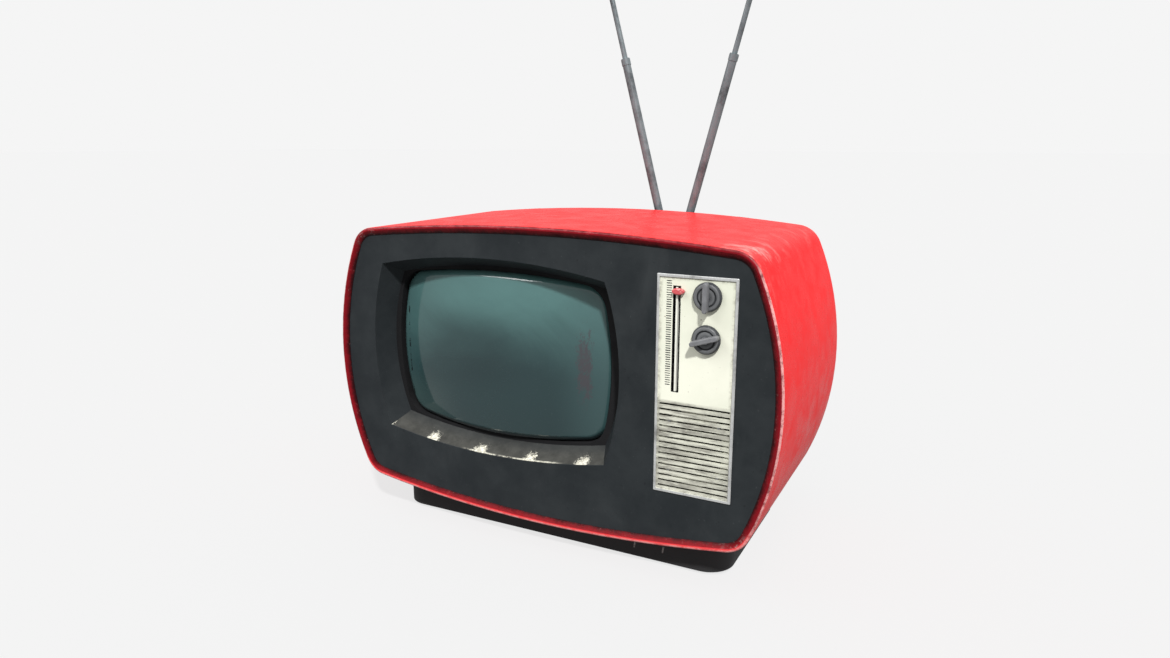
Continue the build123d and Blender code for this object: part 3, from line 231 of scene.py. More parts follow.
def red_paint():
    """Red moulding: a pale dusting on top, rubbed pale along its front edge, painted sheen at the upper
    right corner, painted shade and highlight on the rounded front edge, and painted shade inside the
    lip.
    """
    shade = Shade("red_paint", 0.35, 0.0, 0.14)
    x, y, z = shade.xyz()
    _, _, up = shade.normal()
    depth = shade.minus(y, FRONT_Y)
    inset = outline_inset(shade)
    broad = shade.remap(shade.noise(6, 3), 0.3, 0.7)
    red = shade.blend(broad, (0.88, 0.007, 0.010), (0.93, 0.012, 0.014))
    grain = shade.remap(shade.noise(520, 4, 0.75), 0.48, 0.78)
    red = shade.blend(shade.times(grain, 0.06), red, (0.95, 0.20, 0.18))

    # a thin film of dust on the faces that look up, in soft streaks
    film = shade.remap(shade.noise(16, 5, 0.6, shade.stretched((1, 0.35, 1)), 0.3), 0.3, 0.75, 0.65, 1.0)
    facing = shade.remap(up, 0.45, 0.98)
    upward_pale = shade.times(shade.times(facing, film), 0.055)
    red = shade.blend(upward_pale, red, (0.93, 0.42, 0.38))

    # short rubbed marks, most of them close to the front edge, and painted sheen in streaks at the upper
    # right corner
    rubs = shade.remap(shade.noise(85, 6, 0.8, shade.stretched((1, 0.30, 0.8)), 0.6), 0.63, 0.76)
    near = shade.remap(depth, 0.050, 0.0, 0.03, 0.6)
    corner = shade.times(shade.remap(x, 0.150, 0.185), shade.remap(up, 0.2, 0.8))
    sheen_streaks = shade.remap(shade.noise(60, 5, 0.7, shade.stretched((0.5, 1.4, 1)), 0.5), 0.50, 0.66)
    corner = shade.times(corner, sheen_streaks)
    corner = shade.times(corner, shade.remap(depth, 0.075, 0.01, 0.15, 0.8))
    marks = shade.math("MAXIMUM", shade.times(rubs, near), corner)
    red = shade.blend(shade.times(marks, 0.75), red, (0.95, 0.52, 0.48))

    # rounded front edge: painted shade makes it dull dark red, and painted highlight keeps it bright
    # along the bottom
    bottom = shade.remap(z, SHELL_LOW.z + 0.045, SHELL_LOW.z + 0.020)
    edge_shade_mottle = shade.remap(shade.noise(70, 6, 0.75), 0.35, 0.65)
    edge_shade_and_highlight = shade.blend(edge_shade_mottle, (0.12, 0.004, 0.008), (0.30, 0.012, 0.020))
    edge_shade_and_highlight = shade.blend(bottom, edge_shade_and_highlight, (0.80, 0.045, 0.050))
    red = shade.blend(shade.remap(depth, 0.0022, 0.0010), red, edge_shade_and_highlight)

    # sloping lip: painted shade, dark red fading inwards to black, with dusty scuffs
    start = shade.math("MULTIPLY_ADD", bottom, 0.0012, 0.0016)
    inside = shade.remap(inset, start, shade.plus(start, 0.0013))
    inside = shade.times(inside, shade.remap(depth, 0.02, 0.012))
    mottle = shade.times(shade.minus(shade.noise(85, 6, 0.75), 0.5), 0.007)
    grade = shade.plus(shade.plus(inset, mottle), shade.times(bottom, -0.0010))
    grade = shade.remap(grade, 0.0030, 0.0076)
    outer = shade.blend(bottom, (0.21, 0.005, 0.010), (0.20, 0.004, 0.008))
    recess_shade = shade.blend(grade, outer, (0.022, 0.002, 0.003))
    scuffs = shade.remap(shade.noise(230, 6, 0.8), 0.59, 0.70)
    recess_shade_and_scuffs = shade.blend(shade.times(scuffs, 0.40), recess_shade, (0.40, 0.16, 0.15))
    red = shade.blend(inside, red, recess_shade_and_scuffs)

    # fine pale line round the outer corner of the lip, partly wear and partly painted highlight: wider
    # along the bottom, missing along the top
    corner_line = shade.math("ABSOLUTE", shade.minus(shade.plus(depth, inset), 0.00155))
    reach = shade.math("MULTIPLY_ADD", bottom, 0.0012, 0.0006)
    line = shade.remap(corner_line, reach, 0.00010)
    line = shade.times(line, shade.remap(depth, 0.0030, 0.0020))
    broken = shade.remap(shade.noise(140, 6, 0.8), 0.36, 0.58)
    pale_marks = shade.times(line, shade.math("MULTIPLY_ADD", broken, 0.55, 0.15))
    below_top = shade.remap(z, SHELL_HIGH.z - 0.030, SHELL_HIGH.z - 0.014, 1.0, 0.08)
    pale_marks = shade.times(pale_marks, below_top)
    red = shade.blend(pale_marks, red, (0.96, 0.50, 0.48))

    # grey scrapes on the top left and bottom right of the lip
    slant = shade.times(x, shade.minus(z, SHELL_MIDDLE_Z))
    ends = shade.remap(slant, -0.0200, -0.0225)
    scrape = shade.times(ends, shade.remap(shade.noise(170, 6, 0.8), 0.50, 0.60))
    scrape = shade.times(scrape, shade.times(inside, 0.6))
    red = shade.blend(scrape, red, (0.45, 0.36, 0.34))

    # dirt caught round the rear edge
    rear = shade.remap(y, SHELL_HIGH.y - 0.0022, SHELL_HIGH.y - 0.0006)
    shade.colour(shade.blend(shade.times(rear, 0.65), red, (0.10, 0.004, 0.005)))
    shade.rough(shade.remap(shade.noise(45, 6, 0.7), 0.3, 0.75, 0.20, 0.42))
    shade.bump(shade.noise(420, 4, 0.7), 0.12, 0.00012)
    return shade.mat


CHIPS_SPACING = 0.0537
CHIPS_OFFSET = 0.1165 + CHIPS_SPACING * 6


def charcoal_plastic():
    """Matte charcoal front, paler where it faces up from a dusting and painted light from above, chipped
    along the sill.
    """
    shade = Shade("charcoal_plastic", 0.6, 0.0, 0.2)
    x, y, _ = shade.xyz()
    mottle = shade.noise(26, 6, 0.65)
    tint = shade.remap(mottle, 0.3, 0.75)
    base = shade.blend(tint, (0.0160, 0.0195, 0.0220), (0.0245, 0.0290, 0.0315))
    smudge = shade.remap(shade.noise(11, 5, 0.6, shade.stretched((1.6, 1, 0.7)), 0.6), 0.55, 0.72)
    base = shade.blend(shade.times(smudge, 0.12), base, (0.075, 0.08, 0.083))
    specks = shade.remap(shade.noise(460, 5, 0.75), 0.64, 0.72)
    base = shade.blend(shade.times(specks, 0.40), base, (0.12, 0.125, 0.13))
    pits = shade.remap(shade.noise(250, 4, 0.7), 0.36, 0.30)
    base = shade.blend(shade.times(pits, 0.5), base, (0.008, 0.009, 0.010))

    # paler brown-grey where the sill faces up, fading deeper into the recess: partly a dusting, partly
    # painted light from above
    _, _, up = shade.normal()
    inside = shade.remap(y, PANEL_Y + 0.0002, PANEL_Y + 0.0008)
    dust_and_light = shade.times(shade.remap(up, 0.5, 0.8), inside)
    drift = shade.remap(shade.noise(80, 6, 0.7), 0.3, 0.7)
    upward_pale = shade.blend(drift, (0.038, 0.038, 0.034), (0.068, 0.068, 0.061))
    gritty = shade.remap(shade.noise(420, 6, 0.85), 0.38, 0.62)
    upward_pale = shade.blend(shade.times(gritty, 0.22), upward_pale, (0.034, 0.034, 0.032))
    fade = shade.remap(y, PANEL_Y + 0.021, PANEL_Y + 0.006, 0.45, 1.0)
    base = shade.blend(shade.times(dust_and_light, fade), base, upward_pale)

    # clusters of chips at even spacing along the front of the sill
    across = shade.math("PINGPONG", shade.plus(x, CHIPS_OFFSET), CHIPS_SPACING / 2)
    cluster = shade.times(shade.remap(across, 0.0120, 0.0010), shade.remap(x, 0.062, 0.055))
    depth = shade.remap(y, PANEL_Y + 0.0175, PANEL_Y + 0.001)
    flakes = shade.noise(430, 6, 0.85, shade.stretched((1, 0.7, 1)), 0.8)
    chips = shade.math("MULTIPLY_ADD", shade.times(cluster, depth), 0.34, flakes)
    chips = shade.times(shade.remap(chips, 0.66, 0.74), dust_and_light)
    edge = shade.times(dust_and_light, shade.remap(y, PANEL_Y + 0.0026, PANEL_Y + 0.0012))
    edge = shade.times(edge, shade.remap(shade.noise(75, 5, 0.75), 0.44, 0.52))
    middle = shade.math("ABSOLUTE", shade.plus(x, 0.028))
    edge = shade.times(edge, shade.remap(middle, 0.056, 0.040, 0.0, 0.8))
    pale_marks = shade.math("MAXIMUM", chips, edge)
    bare = shade.remap(shade.noise(500, 3), 0.35, 0.65)
    bare = shade.blend(bare, (0.80, 0.78, 0.66), (0.42, 0.40, 0.33))
    shade.colour(shade.blend(pale_marks, base, bare))
    shade.rough(shade.remap(mottle, 0.3, 0.7, 0.48, 0.7))
    shade.bump(shade.noise(1100, 3), 0.3, 0.00012)
    return shade.mat


def screen_glass():
    """Smooth glass over grey-green phosphor, paler towards the top and the sides in painted reflection,
    with stains near the right edge.
    """
    shade = Shade("screen_glass", 0.10, 0.0, 0.45)
    x, _, z = shade.xyz()
    across = shade.math("DIVIDE", shade.minus(x, GLASS_LOW.x), GLASS_HIGH.x - GLASS_LOW.x)
    height = shade.math("DIVIDE", shade.minus(z, GLASS_LOW.z), GLASS_HIGH.z - GLASS_LOW.z)
    # painted reflection: paler towards the top, in soft clouds
    cloud = shade.noise(13, 5, 0.6, shade.stretched((0.6, 1, 1.2)), 0.6)
    lift = shade.math("MULTIPLY_ADD", cloud, 0.45, height)
    top_reflection = shade.remap(lift, 0.55, 1.22)
    tone = shade.blend(top_reflection, (0.015, 0.039, 0.042), (0.080, 0.176, 0.169))

    # painted reflection: darker pool left of the middle, paler sides and a paler lower left
    dx = shade.minus(across, 0.40)
    dz = shade.times(shade.minus(height, 0.52), 1.1)
    pool = shade.plus(shade.times(dx, dx), shade.times(dz, dz))
    pool = shade.math("SQRT", pool)
    tone = shade.blend(shade.remap(pool, 0.36, 0.05, 0.0, 0.55), tone, (0.009, 0.023, 0.026))
    sides = shade.math("MAXIMUM", shade.remap(across, 0.74, 1.0), shade.remap(across, 0.14, 0.0))
    tone = shade.blend(shade.times(sides, 0.50), tone, (0.060, 0.125, 0.125))
    low_left = shade.times(shade.remap(across, 0.35, 0.08), shade.remap(height, 0.40, 0.10))
    tone = shade.blend(shade.times(low_left, 0.35), tone, (0.080, 0.125, 0.115))

    # brownish stain and a broken dark line close to the left edge
    stain_x = shade.math("ABSOLUTE", shade.minus(across, 0.892))
    stain_z = shade.math("ABSOLUTE", shade.minus(height, 0.49))
    stain = shade.times(shade.remap(stain_x, 0.055, 0.008), shade.remap(stain_z, 0.36, 0.05))
    drips = shade.noise(290, 6, 0.85, shade.stretched((1.0, 1, 0.5)), 0.5)
    stain = shade.remap(shade.math("MULTIPLY_ADD", stain, 0.26, drips), 0.62, 0.76)
    tone = shade.blend(shade.times(stain, 0.75), tone, (0.058, 0.043, 0.052))
    line = shade.remap(shade.math("ABSOLUTE", shade.minus(across, 0.044)), 0.006, 0.002)
    dashes = shade.remap(shade.noise(120, 5, 0.8, shade.stretched((0.2, 1, 1))), 0.50, 0.56)
    span = shade.remap(shade.math("ABSOLUTE", shade.minus(height, 0.42)), 0.36, 0.28)
    line = shade.times(shade.times(line, dashes), span)
    tone = shade.blend(line, tone, (0.008, 0.014, 0.014))
    speckle = shade.remap(shade.noise(700, 4, 0.75), 0.60, 0.75)
    tone = shade.blend(shade.times(speckle, 0.16), tone, (0.16, 0.24, 0.23))

    # painted shade in the lower rounded edge, where it faces down
    _, _, up = shade.normal()
    tone = shade.blend(shade.remap(up, -0.22, -0.45, 0.0, 0.8), tone, (0.010, 0.016, 0.018))
    shade.colour(tone)
    shade.rough(shade.remap(shade.noise(50, 6, 0.7), 0.35, 0.7, 0.07, 0.20))
    shade.bump(shade.noise(9, 3), 0.03, 0.0006)
    shade.coat(1.0, 0.05)
    return shade.mat


def cream_plastic():
    """Satin cream panel with dirt specks, a black dial slot and grime between the slats."""
    shade = Shade("cream_plastic", 0.45, 0.0, 0.3)
    x, _, z = shade.xyz()
    broad = shade.remap(shade.noise(20, 5, 0.6), 0.3, 0.7)
    base = shade.blend(broad, (0.86, 0.86, 0.73), (0.78, 0.79, 0.66))
    top = shade.remap(z, PANEL_HIGH.z - 0.045, PANEL_HIGH.z)
    clouds = shade.remap(shade.noise(60, 5, 0.7), 0.35, 0.65)
    clouds = shade.times(top, shade.math("MULTIPLY_ADD", clouds, 0.25, 0.2))
    base = shade.blend(clouds, base, (0.66, 0.70, 0.55))
    specks = shade.remap(shade.noise(300, 5, 0.78), 0.665, 0.70)
    base = shade.blend(shade.times(specks, 0.8), base, (0.20, 0.18, 0.13))
    dots = shade.remap(shade.cells(150), 0.11, 0.06)
    dots = shade.times(dots, shade.remap(shade.noise(35, 2), 0.46, 0.56))
    base = shade.blend(dots, base, (0.30, 0.26, 0.19))

    # dirt creeping in from the frame
    side = shade.math("MINIMUM", shade.minus(x, PANEL_LOW.x), shade.minus(PANEL_HIGH.x, x))
    ends = shade.math("MINIMUM", shade.minus(z, PANEL_LOW.z), shade.minus(PANEL_HIGH.z, z))
    rim = shade.remap(shade.math("MINIMUM", side, ends), 0.0055, 0.0018)
    spread = shade.remap(shade.noise(190, 6, 0.75), 0.42, 0.62)
    rim = shade.times(rim, shade.math("MULTIPLY_ADD", spread, 0.55, 0.12))
    base = shade.blend(rim, base, (0.30, 0.29, 0.23))

    # grime on the slats, drawn out sideways
    grille = shade.remap(z, PANEL_LOW.z + 0.0805, PANEL_LOW.z + 0.078)
    streaks = shade.remap(shade.noise(150, 6, 0.8, shade.stretched((0.22, 1, 1.8))), 0.40, 0.60)
    patches = shade.remap(shade.noise(30, 4, 0.6), 0.35, 0.60, 0.55, 1.0)
    streaks = shade.math("MULTIPLY_ADD", streaks, 0.62, 0.33)
    soil = shade.times(streaks, shade.times(grille, patches))
    base = shade.blend(soil, base, (0.20, 0.19, 0.165))

    # black edge of the dial slot
    reach = shade.math("ABSOLUTE", shade.minus(x, (RAIL_LOW.x + RAIL_HIGH.x) / 2))
    above = shade.math("GREATER_THAN", z, RAIL_LOW.z + 0.0012)
    below = shade.math("LESS_THAN", z, RAIL_HIGH.z - 0.0020)
    black = shade.times(shade.math("LESS_THAN", reach, 0.00325), shade.times(above, below))
    shade.colour(shade.blend(black, base, (0.010, 0.010, 0.010)))
    shade.rough(shade.remap(shade.noise(60, 4), 0.3, 0.7, 0.36, 0.6))
    shade.bump(shade.noise(700, 3), 0.12, 0.0001)
    return shade.mat


def worn_metal(name, base, dark, roughness, stretch=(1, 1, 1), metallic=1.0):
    """Metal dulled by handling: long fine brushing, darker tarnish in patches."""
    shade = Shade(name, roughness, metallic)
    tarnish = shade.remap(shade.noise(45, 6, 0.7), 0.42, 0.72)
    brushed = shade.noise(500, 3, 0.6, shade.stretched(stretch))
    tone = shade.blend(tarnish, base, dark)
    shade.colour(shade.blend(shade.times(shade.remap(brushed, 0.4, 0.7), 0.35), tone, dark))
    shade.rough(shade.remap(brushed, 0.3, 0.7, roughness * 0.8, min(1.0, roughness * 1.35)))
    shade.bump(brushed, 0.12, 0.00008)
    return shade.mat


def scratch_marks(shade, marks):
    """Short slanting scratches on the front of the plinth, each given as (x, z of its upper end)."""
    x, _, z = shade.xyz()
    ragged = shade.remap(shade.noise(380, 5, 0.8), 0.38, 0.52)
    total = 0.0
    for place, top in marks:
        drop = shade.minus(top, z)
        slant = shade.math("MULTIPLY_ADD", drop, 0.15, x)
        thin = shade.remap(shade.math("ABSOLUTE", shade.minus(slant, place)), 0.0010, 0.0004)
        span = shade.times(shade.remap(drop, -0.0003, 0.0003), shade.remap(drop, 0.007, 0.005))
        total = shade.math("MAXIMUM", total, shade.times(thin, span))
    return shade.times(total, ragged)


def speckled(name, base, fleck, roughness, threshold=0.62, grain=500.0, specular=0.3, marks=()):
    """Moulded plastic or rubber with pale flecks of wear."""
    shade = Shade(name, roughness, 0.0, specular)
    mottle = shade.noise(75, 5, 0.6)
    dark = tuple(value * 0.85 for value in base)
    tone = shade.blend(shade.remap(mottle, 0.3, 0.7), dark, base)
    flecks = shade.remap(shade.noise(260, 6, 0.75), threshold, threshold + 0.09)
    tone = shade.blend(flecks, tone, fleck)
    if marks:
        tone = shade.blend(scratch_marks(shade, marks), tone, (0.34, 0.34, 0.32))
    shade.colour(tone)
    shade.rough(shade.remap(mottle, 0.3, 0.7, roughness * 0.93, min(1.0, roughness * 1.1)))
    shade.bump(shade.noise(grain, 3), 0.3, 0.0001)
    return shade.mat


def knob_plastic():
    """Dark grey knob, paler on the finger bar where hands rub it, with a painted highlight round the top
    of the ring.
    """
    shade = Shade("knob_plastic", 0.4, 0.0, 0.35)
    _, y, _ = shade.xyz()
    mottle = shade.noise(120, 5, 0.65)
    ring = shade.blend(shade.remap(mottle, 0.3, 0.7), (0.030, 0.032, 0.035), (0.058, 0.061, 0.065))
    bar = shade.blend(shade.remap(mottle, 0.3, 0.7), (0.155, 0.157, 0.166), (0.210, 0.212, 0.220))
    height = shade.minus(PANEL_Y, y)
    tone = shade.blend(shade.remap(height, 0.0049, 0.0056), ring, bar)
    # painted highlight: paler band along the top edges of the ring and the dished middle
    rim = shade.times(shade.remap(height, 0.0042, 0.0046), shade.remap(height, 0.0050, 0.0048))
    tone = shade.blend(shade.times(rim, 0.45), tone, (0.24, 0.245, 0.25))
    rubbed = shade.remap(shade.noise(420, 6, 0.8), 0.58, 0.72)
    shade.colour(shade.blend(shade.times(rubbed, 0.55), tone, (0.26, 0.265, 0.27)))
    shade.rough(shade.remap(mottle, 0.3, 0.7, 0.30, 0.52))
    shade.bump(shade.noise(900, 3), 0.2, 0.00008)
    return shade.mat


PLINTH_SCRATCHES = ((0.0884, 0.0170), (0.1156, 0.0180))


def build_materials():
    """One finished material for each slot of the record."""
    steel = ((0.50, 0.51, 0.53), (0.30, 0.30, 0.31))
    return {
        "red_paint": red_paint(),
        "charcoal_plastic": charcoal_plastic(),
        "screen_glass": screen_glass(),
        "cream_plastic": cream_plastic(),
        "black_plastic": speckled("black_plastic", (0.030, 0.030, 0.031), (0.10, 0.105, 0.10), 0.5, 0.70,
                                  marks=PLINTH_SCRATCHES),
        "cover_plastic": speckled("cover_plastic", (0.024, 0.025, 0.028), (0.060, 0.060, 0.062), 0.6,
                                  0.72, 1300),
        "knob_plastic": knob_plastic(),
        "pointer_red": speckled("pointer_red", (0.62, 0.10, 0.11), (0.85, 0.45, 0.42), 0.45, 0.55),
        "white_plastic": speckled("white_plastic", (0.86, 0.86, 0.76), (0.45, 0.43, 0.36), 0.45, 0.68),
        "rubber": speckled("rubber", (0.025, 0.025, 0.025), (0.06, 0.06, 0.06), 0.85, 0.66),
        "black_rubber": speckled("black_rubber", (0.006, 0.006, 0.007), (0.02, 0.02, 0.02), 0.8, 0.7),
        "red_rubber": speckled("red_rubber", (0.30, 0.02, 0.015), (0.4, 0.08, 0.06), 0.7, 0.66),
        "trim_metal": worn_metal("trim_metal", (0.80, 0.81, 0.80), (0.34, 0.34, 0.33), 0.42,
                                 (1, 1, 0.05), 0.6),
        "antenna_metal": worn_metal("antenna_metal", (0.188, 0.224, 0.236), (0.062, 0.073, 0.078), 0.45,
                                    (1.4, 1.4, 0.03), 0.3),
        "screw_steel": worn_metal("screw_steel", *steel, 0.35),
        "spring_steel": worn_metal("spring_steel", (0.36, 0.38, 0.42), (0.2, 0.2, 0.22), 0.4),
        "band_steel": worn_metal("band_steel", *steel, 0.45),
        "zinc_steel": worn_metal("zinc_steel", (0.55, 0.55, 0.52), (0.36, 0.35, 0.30), 0.42),
        "spindle_steel": worn_metal("spindle_steel", *steel, 0.3, (1, 0.05, 1)),
        "terminal_brass": worn_metal("terminal_brass", (0.70, 0.55, 0.28), (0.35, 0.24, 0.12), 0.35),
        "can_aluminium": worn_metal("can_aluminium", (0.25, 0.38, 0.55), (0.15, 0.22, 0.33), 0.4,
                                    (1, 1, 0.05)),
        "sink_aluminium": worn_metal("sink_aluminium", (0.68, 0.69, 0.7), (0.45, 0.45, 0.45), 0.4,
                                     (1, 1, 0.05)),
        "funnel_glass": grained("funnel_glass", (0.03, 0.03, 0.033), (0.05, 0.05, 0.052), 0.7).mat,
        "neck_glass": grained("neck_glass", (0.5, 0.55, 0.54), (0.35, 0.4, 0.4), 0.15).mat,
        "copper_winding": grained("copper_winding", (0.55, 0.22, 0.10), (0.3, 0.1, 0.05), 0.4, 0.8, 1500,
                                  0.5, 60, 0.5, (1, 0.05, 1)).mat,
        "ferrite": grained("ferrite", (0.05, 0.05, 0.055), (0.09, 0.09, 0.095), 0.75).mat,
        "board_laminate": grained("board_laminate", (0.30, 0.18, 0.08), (0.22, 0.12, 0.05), 0.5).mat,
        "dial_cord": grained("dial_cord", (0.70, 0.64, 0.48), (0.5, 0.45, 0.33), 0.8, 0.0, 3000).mat,
        "speaker_paper": grained("speaker_paper", (0.06, 0.056, 0.05), (0.1, 0.09, 0.08), 0.9).mat,
        "transformer_iron": grained("transformer_iron", (0.10, 0.10, 0.11), (0.2, 0.12, 0.08), 0.5, 0.6,
                                    1200, 0.5, 40, 0.5, (1, 0.05, 1)).mat,
        "terminal_board": grained("terminal_board", (0.30, 0.17, 0.08), (0.2, 0.1, 0.05), 0.45).mat,
    }


MATERIALS = build_materials()


def dress_cad_nodes():
    """Give every CAD node the finished material of its slot."""
    for part in frame["record"]["subparts"]:
        node = frame["nodes"][part["node"]]
        node.data.materials.clear()
        node.data.materials.append(MATERIALS[part["material_slot"]])


dress_cad_nodes()

# ---------------------------------------------------------- added pieces

WELD_DISTANCE = 1e-7
SHARP_ANGLE = math.radians(32)


def new_piece(name, verts, faces, body, slot, smooth=True):
    """Mesh object that rides on a body and wears the material of a slot."""
    mesh = bpy.data.meshes.new(name)
    mesh.from_pydata(verts, [], faces)
    mesh.update()
    work = bmesh.new()
    work.from_mesh(mesh)
    bmesh.ops.remove_doubles(work, verts=work.verts, dist=WELD_DISTANCE)
    bmesh.ops.recalc_face_normals(work, faces=work.faces)
    work.to_mesh(mesh)
    work.free()
    if smooth:
        mesh.shade_smooth()
        mesh.set_sharp_from_angle(angle=SHARP_ANGLE)
    piece = bpy.data.objects.new(name, mesh)
    bpy.context.scene.collection.objects.link(piece)
    piece.data.materials.append(MATERIALS[slot])
    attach(piece, body)
    return piece


def skin(loops):
    """Faces that join equal loops of points, with an end face on the first and last."""
    verts = [point for loop in loops for point in loop]
    count = len(loops[0])
    faces = []
    for level in range(len(loops) - 1):
        for index in range(count):
            after = (index + 1) % count
            a, b = level * count + index, level * count + after
            faces.append((a, b, b + count, a + count))
    faces.append(tuple(range(count)))
    faces.append(tuple(range(len(verts) - count, len(verts))))
    return verts, faces


def join(meshes):
    """One vertex and face list from several."""
    verts, faces = [], []
    for more_verts, more_faces in meshes:
        start = len(verts)
        verts += more_verts
        faces += [tuple(index + start for index in face) for face in more_faces]
    return verts, faces


KNOB_TURN = 96
BAR_END_POINTS = 16
# (radius, height) and (half length, half width, height), in millimetres above the panel
KNOB_PROFILE = (
    (10.6, 0.55), (11.4, 0.75), (11.75, 1.3), (11.75, 2.6), (11.55, 3.1), (10.35, 4.55), (9.95, 4.78),
    (8.45, 4.78), (8.05, 4.6), (7.9, 4.2), (7.75, 3.3), (6.85, 3.3), (6.7, 4.2), (6.5, 4.6), (6.2, 4.7),
    (4.2, 4.45), (0.8, 4.2))
BAR_LEVELS = (
    (12.1, 2.15, 3.7), (12.05, 2.12, 6.0), (11.9, 2.0, 9.2), (11.7, 1.8, 9.95), (11.3, 1.4, 10.35))


def knob_disc(centre):
    """Turned disc that follows the knob's profile."""
    loops = []
    for radius, height in KNOB_PROFILE:
        loop = []
        for step in range(KNOB_TURN):
            angle = 2 * math.pi * step / KNOB_TURN
            loop.append((centre.x + radius * MM * math.cos(angle), PANEL_Y - height * MM,
                         centre.z + radius * MM * math.sin(angle)))
        loops.append(loop)
    return skin(loops)


def knob_bar(centre, angle):
    """Finger bar with round ends, turned by an angle."""
    loops = []
    for half_length, half_width, height in BAR_LEVELS:
        loop = []
        for end in (0, math.pi):
            for step in range(BAR_END_POINTS):
                turn = end - math.pi / 2 + math.pi * step / (BAR_END_POINTS - 1)
                along = math.cos(end) * (half_length - half_width) + half_width * math.cos(turn)
                across = half_width * math.sin(turn)
                loop.append((centre.x + MM * (along * math.cos(angle) - across * math.sin(angle)),
                             PANEL_Y - height * MM,
                             centre.z + MM * (along * math.sin(angle) + across * math.cos(angle))))
        loops.append(loop)
    return skin(loops)


def make_front_knob(name, body, node, angle):
    """Front knob: bevelled ring, dark groove, dished middle and a finger bar."""
    low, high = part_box(node.replace("knob", "shaft"))
    centre = (low + high) / 2
    meshes = join([knob_disc(centre), knob_bar(centre, angle)])
    knob = new_piece(name, *meshes, body, "knob_plastic")
    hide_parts(node)


SCALE_LINES = 46
SCALE_PROUD = 0.00004
BOX_FACES = ((0, 1, 2, 3), (4, 7, 6, 5), (0, 4, 5, 1), (1, 5, 6, 2), (2, 6, 7, 3), (3, 7, 4, 0))


def make_scale():
    """Fine printed lines of the tuning scale, left of the slot."""
    rng = random.Random(7)
    left = RAIL_LOW.x - 0.0080
    right = RAIL_LOW.x - 0.0036
    top, bottom = RAIL_HIGH.z + 0.0015, RAIL_LOW.z + 0.007
    verts, faces = [], []
    for index in range(SCALE_LINES):
        z = top + (bottom - top) * index / (SCALE_LINES - 1)
        half = 0.00030 + 0.00016 * rng.random()
        lead = 0.0003 * rng.random()
        start = len(verts)
        for y in (PANEL_Y - SCALE_PROUD, PANEL_Y + SCALE_PROUD):
            verts += [(left + lead, y, z - half), (right, y, z - half),
                      (right, y, z + half), (left + lead, y, z + half)]
        faces += [tuple(corner + start for corner in face) for face in BOX_FACES]
    new_piece("scale_lines", verts, faces, "cabinet", "black_plastic", smooth=False)


make_front_knob("volume_dial", "volume_control", "volume_knob", math.radians(90))
make_front_knob("tuning_dial", "tuning_control", "tuning_knob", math.radians(18))
make_scale()

# ------------------------------------------------------------------ scene

# the stage looks brighter to the camera (seen) than the light it gives (felt)
FLOOR_SIZE = 60
FLOOR_TONE = 0.12
FLOOR_SEEN = 0.752
FLOOR_FELT = 0.18
SKY_SEEN = 0.913
SKY_HORIZON = 0.40
SKY_ZENITH = 0.72

KEY_FROM = (0.378, -0.581, 0.721)
KEY_STRENGTH = 3.45
KEY_ANGLE = 4
# name, place, target, (width, height), watts
PANEL_LIGHTS = (
    ("softbox", (-0.96, -0.89, 1.40), (-0.05, -0.13, 0.25), (1.3, 0.6), 14),
    ("side_light", (1.8, 0.2, 0.5), (0.2, 0.0, 0.15), (1.2, 1.2), 4),
    ("back_light", (1.0, 1.6, 1.9), (0.0, 0.1, 0.15), (1.2, 1.0), 20),
)

# fitted to the photograph: angles in degrees, lens and sensor in millimetres
CAMERA_PLACE = (0.35355, -0.7434, 0.3660)
CAMERA_TURN = 26.97
CAMERA_DROP = 12.91
CAMERA_LENS = 25.22
SENSOR_WIDTH = 36
CLIP_START = 0.02


def make_stage():
    """Plain pale floor that keeps a faint contact shadow."""
    bpy.ops.mesh.primitive_plane_add(size=FLOOR_SIZE, location=(0, 0, 0))
    floor = bpy.context.object
    floor.name = "floor"
    shade = Shade("floor", 1.0, 0.0, 0.0)
    shade.bsdf.inputs["Base Color"].default_value = (FLOOR_TONE, FLOOR_TONE, FLOOR_TONE, 1)
    shade.bsdf.inputs["Emission Color"].default_value = (1, 1, 1, 1)
    path = shade.tree.nodes.new("ShaderNodeLightPath")
    glow = shade.math("MULTIPLY_ADD", path.outputs["Is Camera Ray"], FLOOR_SEEN - FLOOR_FELT, FLOOR_FELT)
    shade.put(shade.bsdf.inputs["Emission Strength"], glow)
    floor.data.materials.append(shade.mat)
    return floor


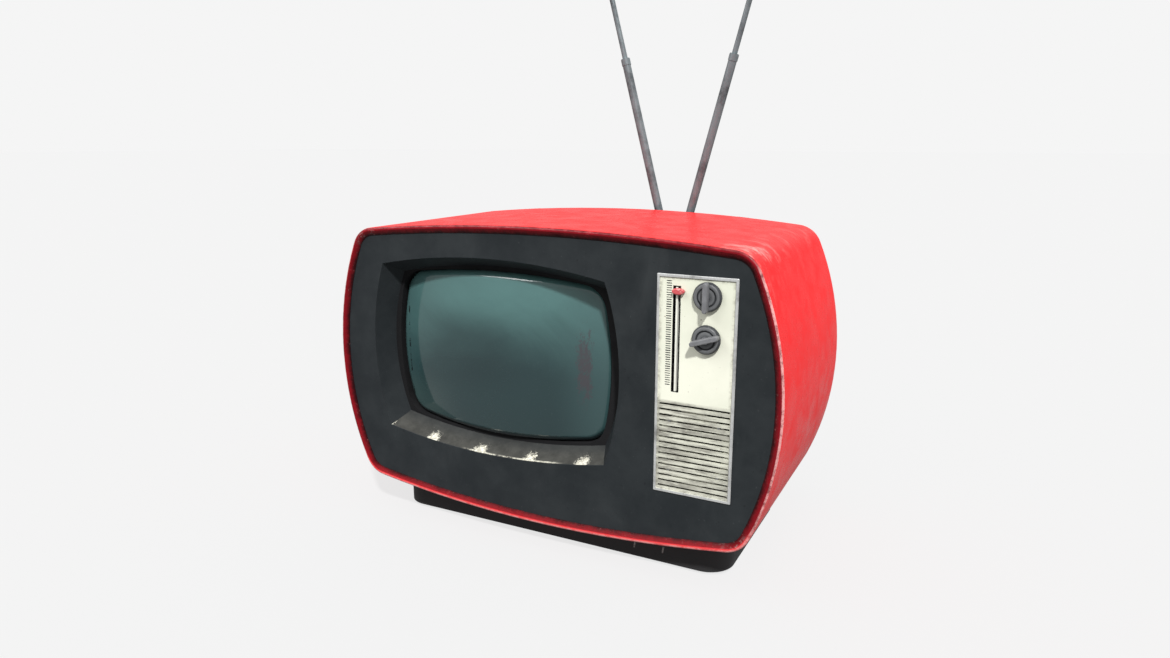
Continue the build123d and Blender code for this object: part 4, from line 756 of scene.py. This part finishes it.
def make_world():
    """Pale surroundings: even to the eye, brighter overhead for the lighting."""
    world = bpy.data.worlds.new("studio")
    bpy.context.scene.world = world
    world.use_nodes = True
    tree = world.node_tree
    tree.nodes.clear()
    seen = tree.nodes.new("ShaderNodeBackground")
    seen.inputs["Color"].default_value = (SKY_SEEN, SKY_SEEN, SKY_SEEN, 1)
    felt = tree.nodes.new("ShaderNodeBackground")
    coords = tree.nodes.new("ShaderNodeTexCoord")
    axes = tree.nodes.new("ShaderNodeSeparateXYZ")
    ramp = tree.nodes.new("ShaderNodeMapRange")
    ramp.inputs["To Min"].default_value = SKY_HORIZON
    ramp.inputs["To Max"].default_value = SKY_ZENITH
    path = tree.nodes.new("ShaderNodeLightPath")
    mix = tree.nodes.new("ShaderNodeMixShader")
    out = tree.nodes.new("ShaderNodeOutputWorld")
    tree.links.new(coords.outputs["Generated"], axes.inputs[0])
    tree.links.new(axes.outputs["Z"], ramp.inputs["Value"])
    tree.links.new(ramp.outputs[0], felt.inputs["Strength"])
    tree.links.new(path.outputs["Is Camera Ray"], mix.inputs[0])
    tree.links.new(felt.outputs[0], mix.inputs[1])
    tree.links.new(seen.outputs[0], mix.inputs[2])
    tree.links.new(mix.outputs[0], out.inputs["Surface"])


def add_sun(name, direction, strength, angle):
    """Distant soft light that shines along a direction."""
    data = bpy.data.lights.new(name, "SUN")
    data.energy = strength
    data.angle = math.radians(angle)
    lamp = bpy.data.objects.new(name, data)
    lamp.rotation_euler = Vector(direction).to_track_quat("-Z", "Y").to_euler()
    bpy.context.scene.collection.objects.link(lamp)


def add_panel(name, place, target, size, watts):
    """Large soft light aimed at a point."""
    data = bpy.data.lights.new(name, "AREA")
    data.shape = "RECTANGLE"
    data.size, data.size_y = size
    data.energy = watts
    lamp = bpy.data.objects.new(name, data)
    lamp.location = place
    lamp.rotation_euler = (Vector(target) - Vector(place)).to_track_quat("-Z", "Y").to_euler()
    bpy.context.scene.collection.objects.link(lamp)
    return lamp


def spare_floor(lamp, floor):
    """Keep a lamp's light off the floor, so that the floor stays even."""
    group = bpy.data.collections.new("unlit_by_" + lamp.name)
    group.objects.link(floor)
    lamp.light_linking.receiver_collection = group
    group.collection_objects[0].light_linking.link_state = "EXCLUDE"


def make_camera():
    """Camera at the right of the set, a little above it."""
    data = bpy.data.cameras.new("camera")
    data.lens = CAMERA_LENS
    data.sensor_width = SENSOR_WIDTH
    data.clip_start = CLIP_START
    camera = bpy.data.objects.new("camera", data)
    camera.location = CAMERA_PLACE
    camera.rotation_euler = (math.radians(90 - CAMERA_DROP), 0, math.radians(CAMERA_TURN))
    bpy.context.scene.collection.objects.link(camera)
    bpy.context.scene.camera = camera


stage_floor = make_stage()
make_world()
make_camera()
add_sun("key", [-value for value in KEY_FROM], KEY_STRENGTH, KEY_ANGLE)
lamps = [add_panel(*panel) for panel in PANEL_LIGHTS]
for panel_lamp in lamps:
    spare_floor(panel_lamp, stage_floor)
bpy.context.scene.view_settings.view_transform = "Standard"
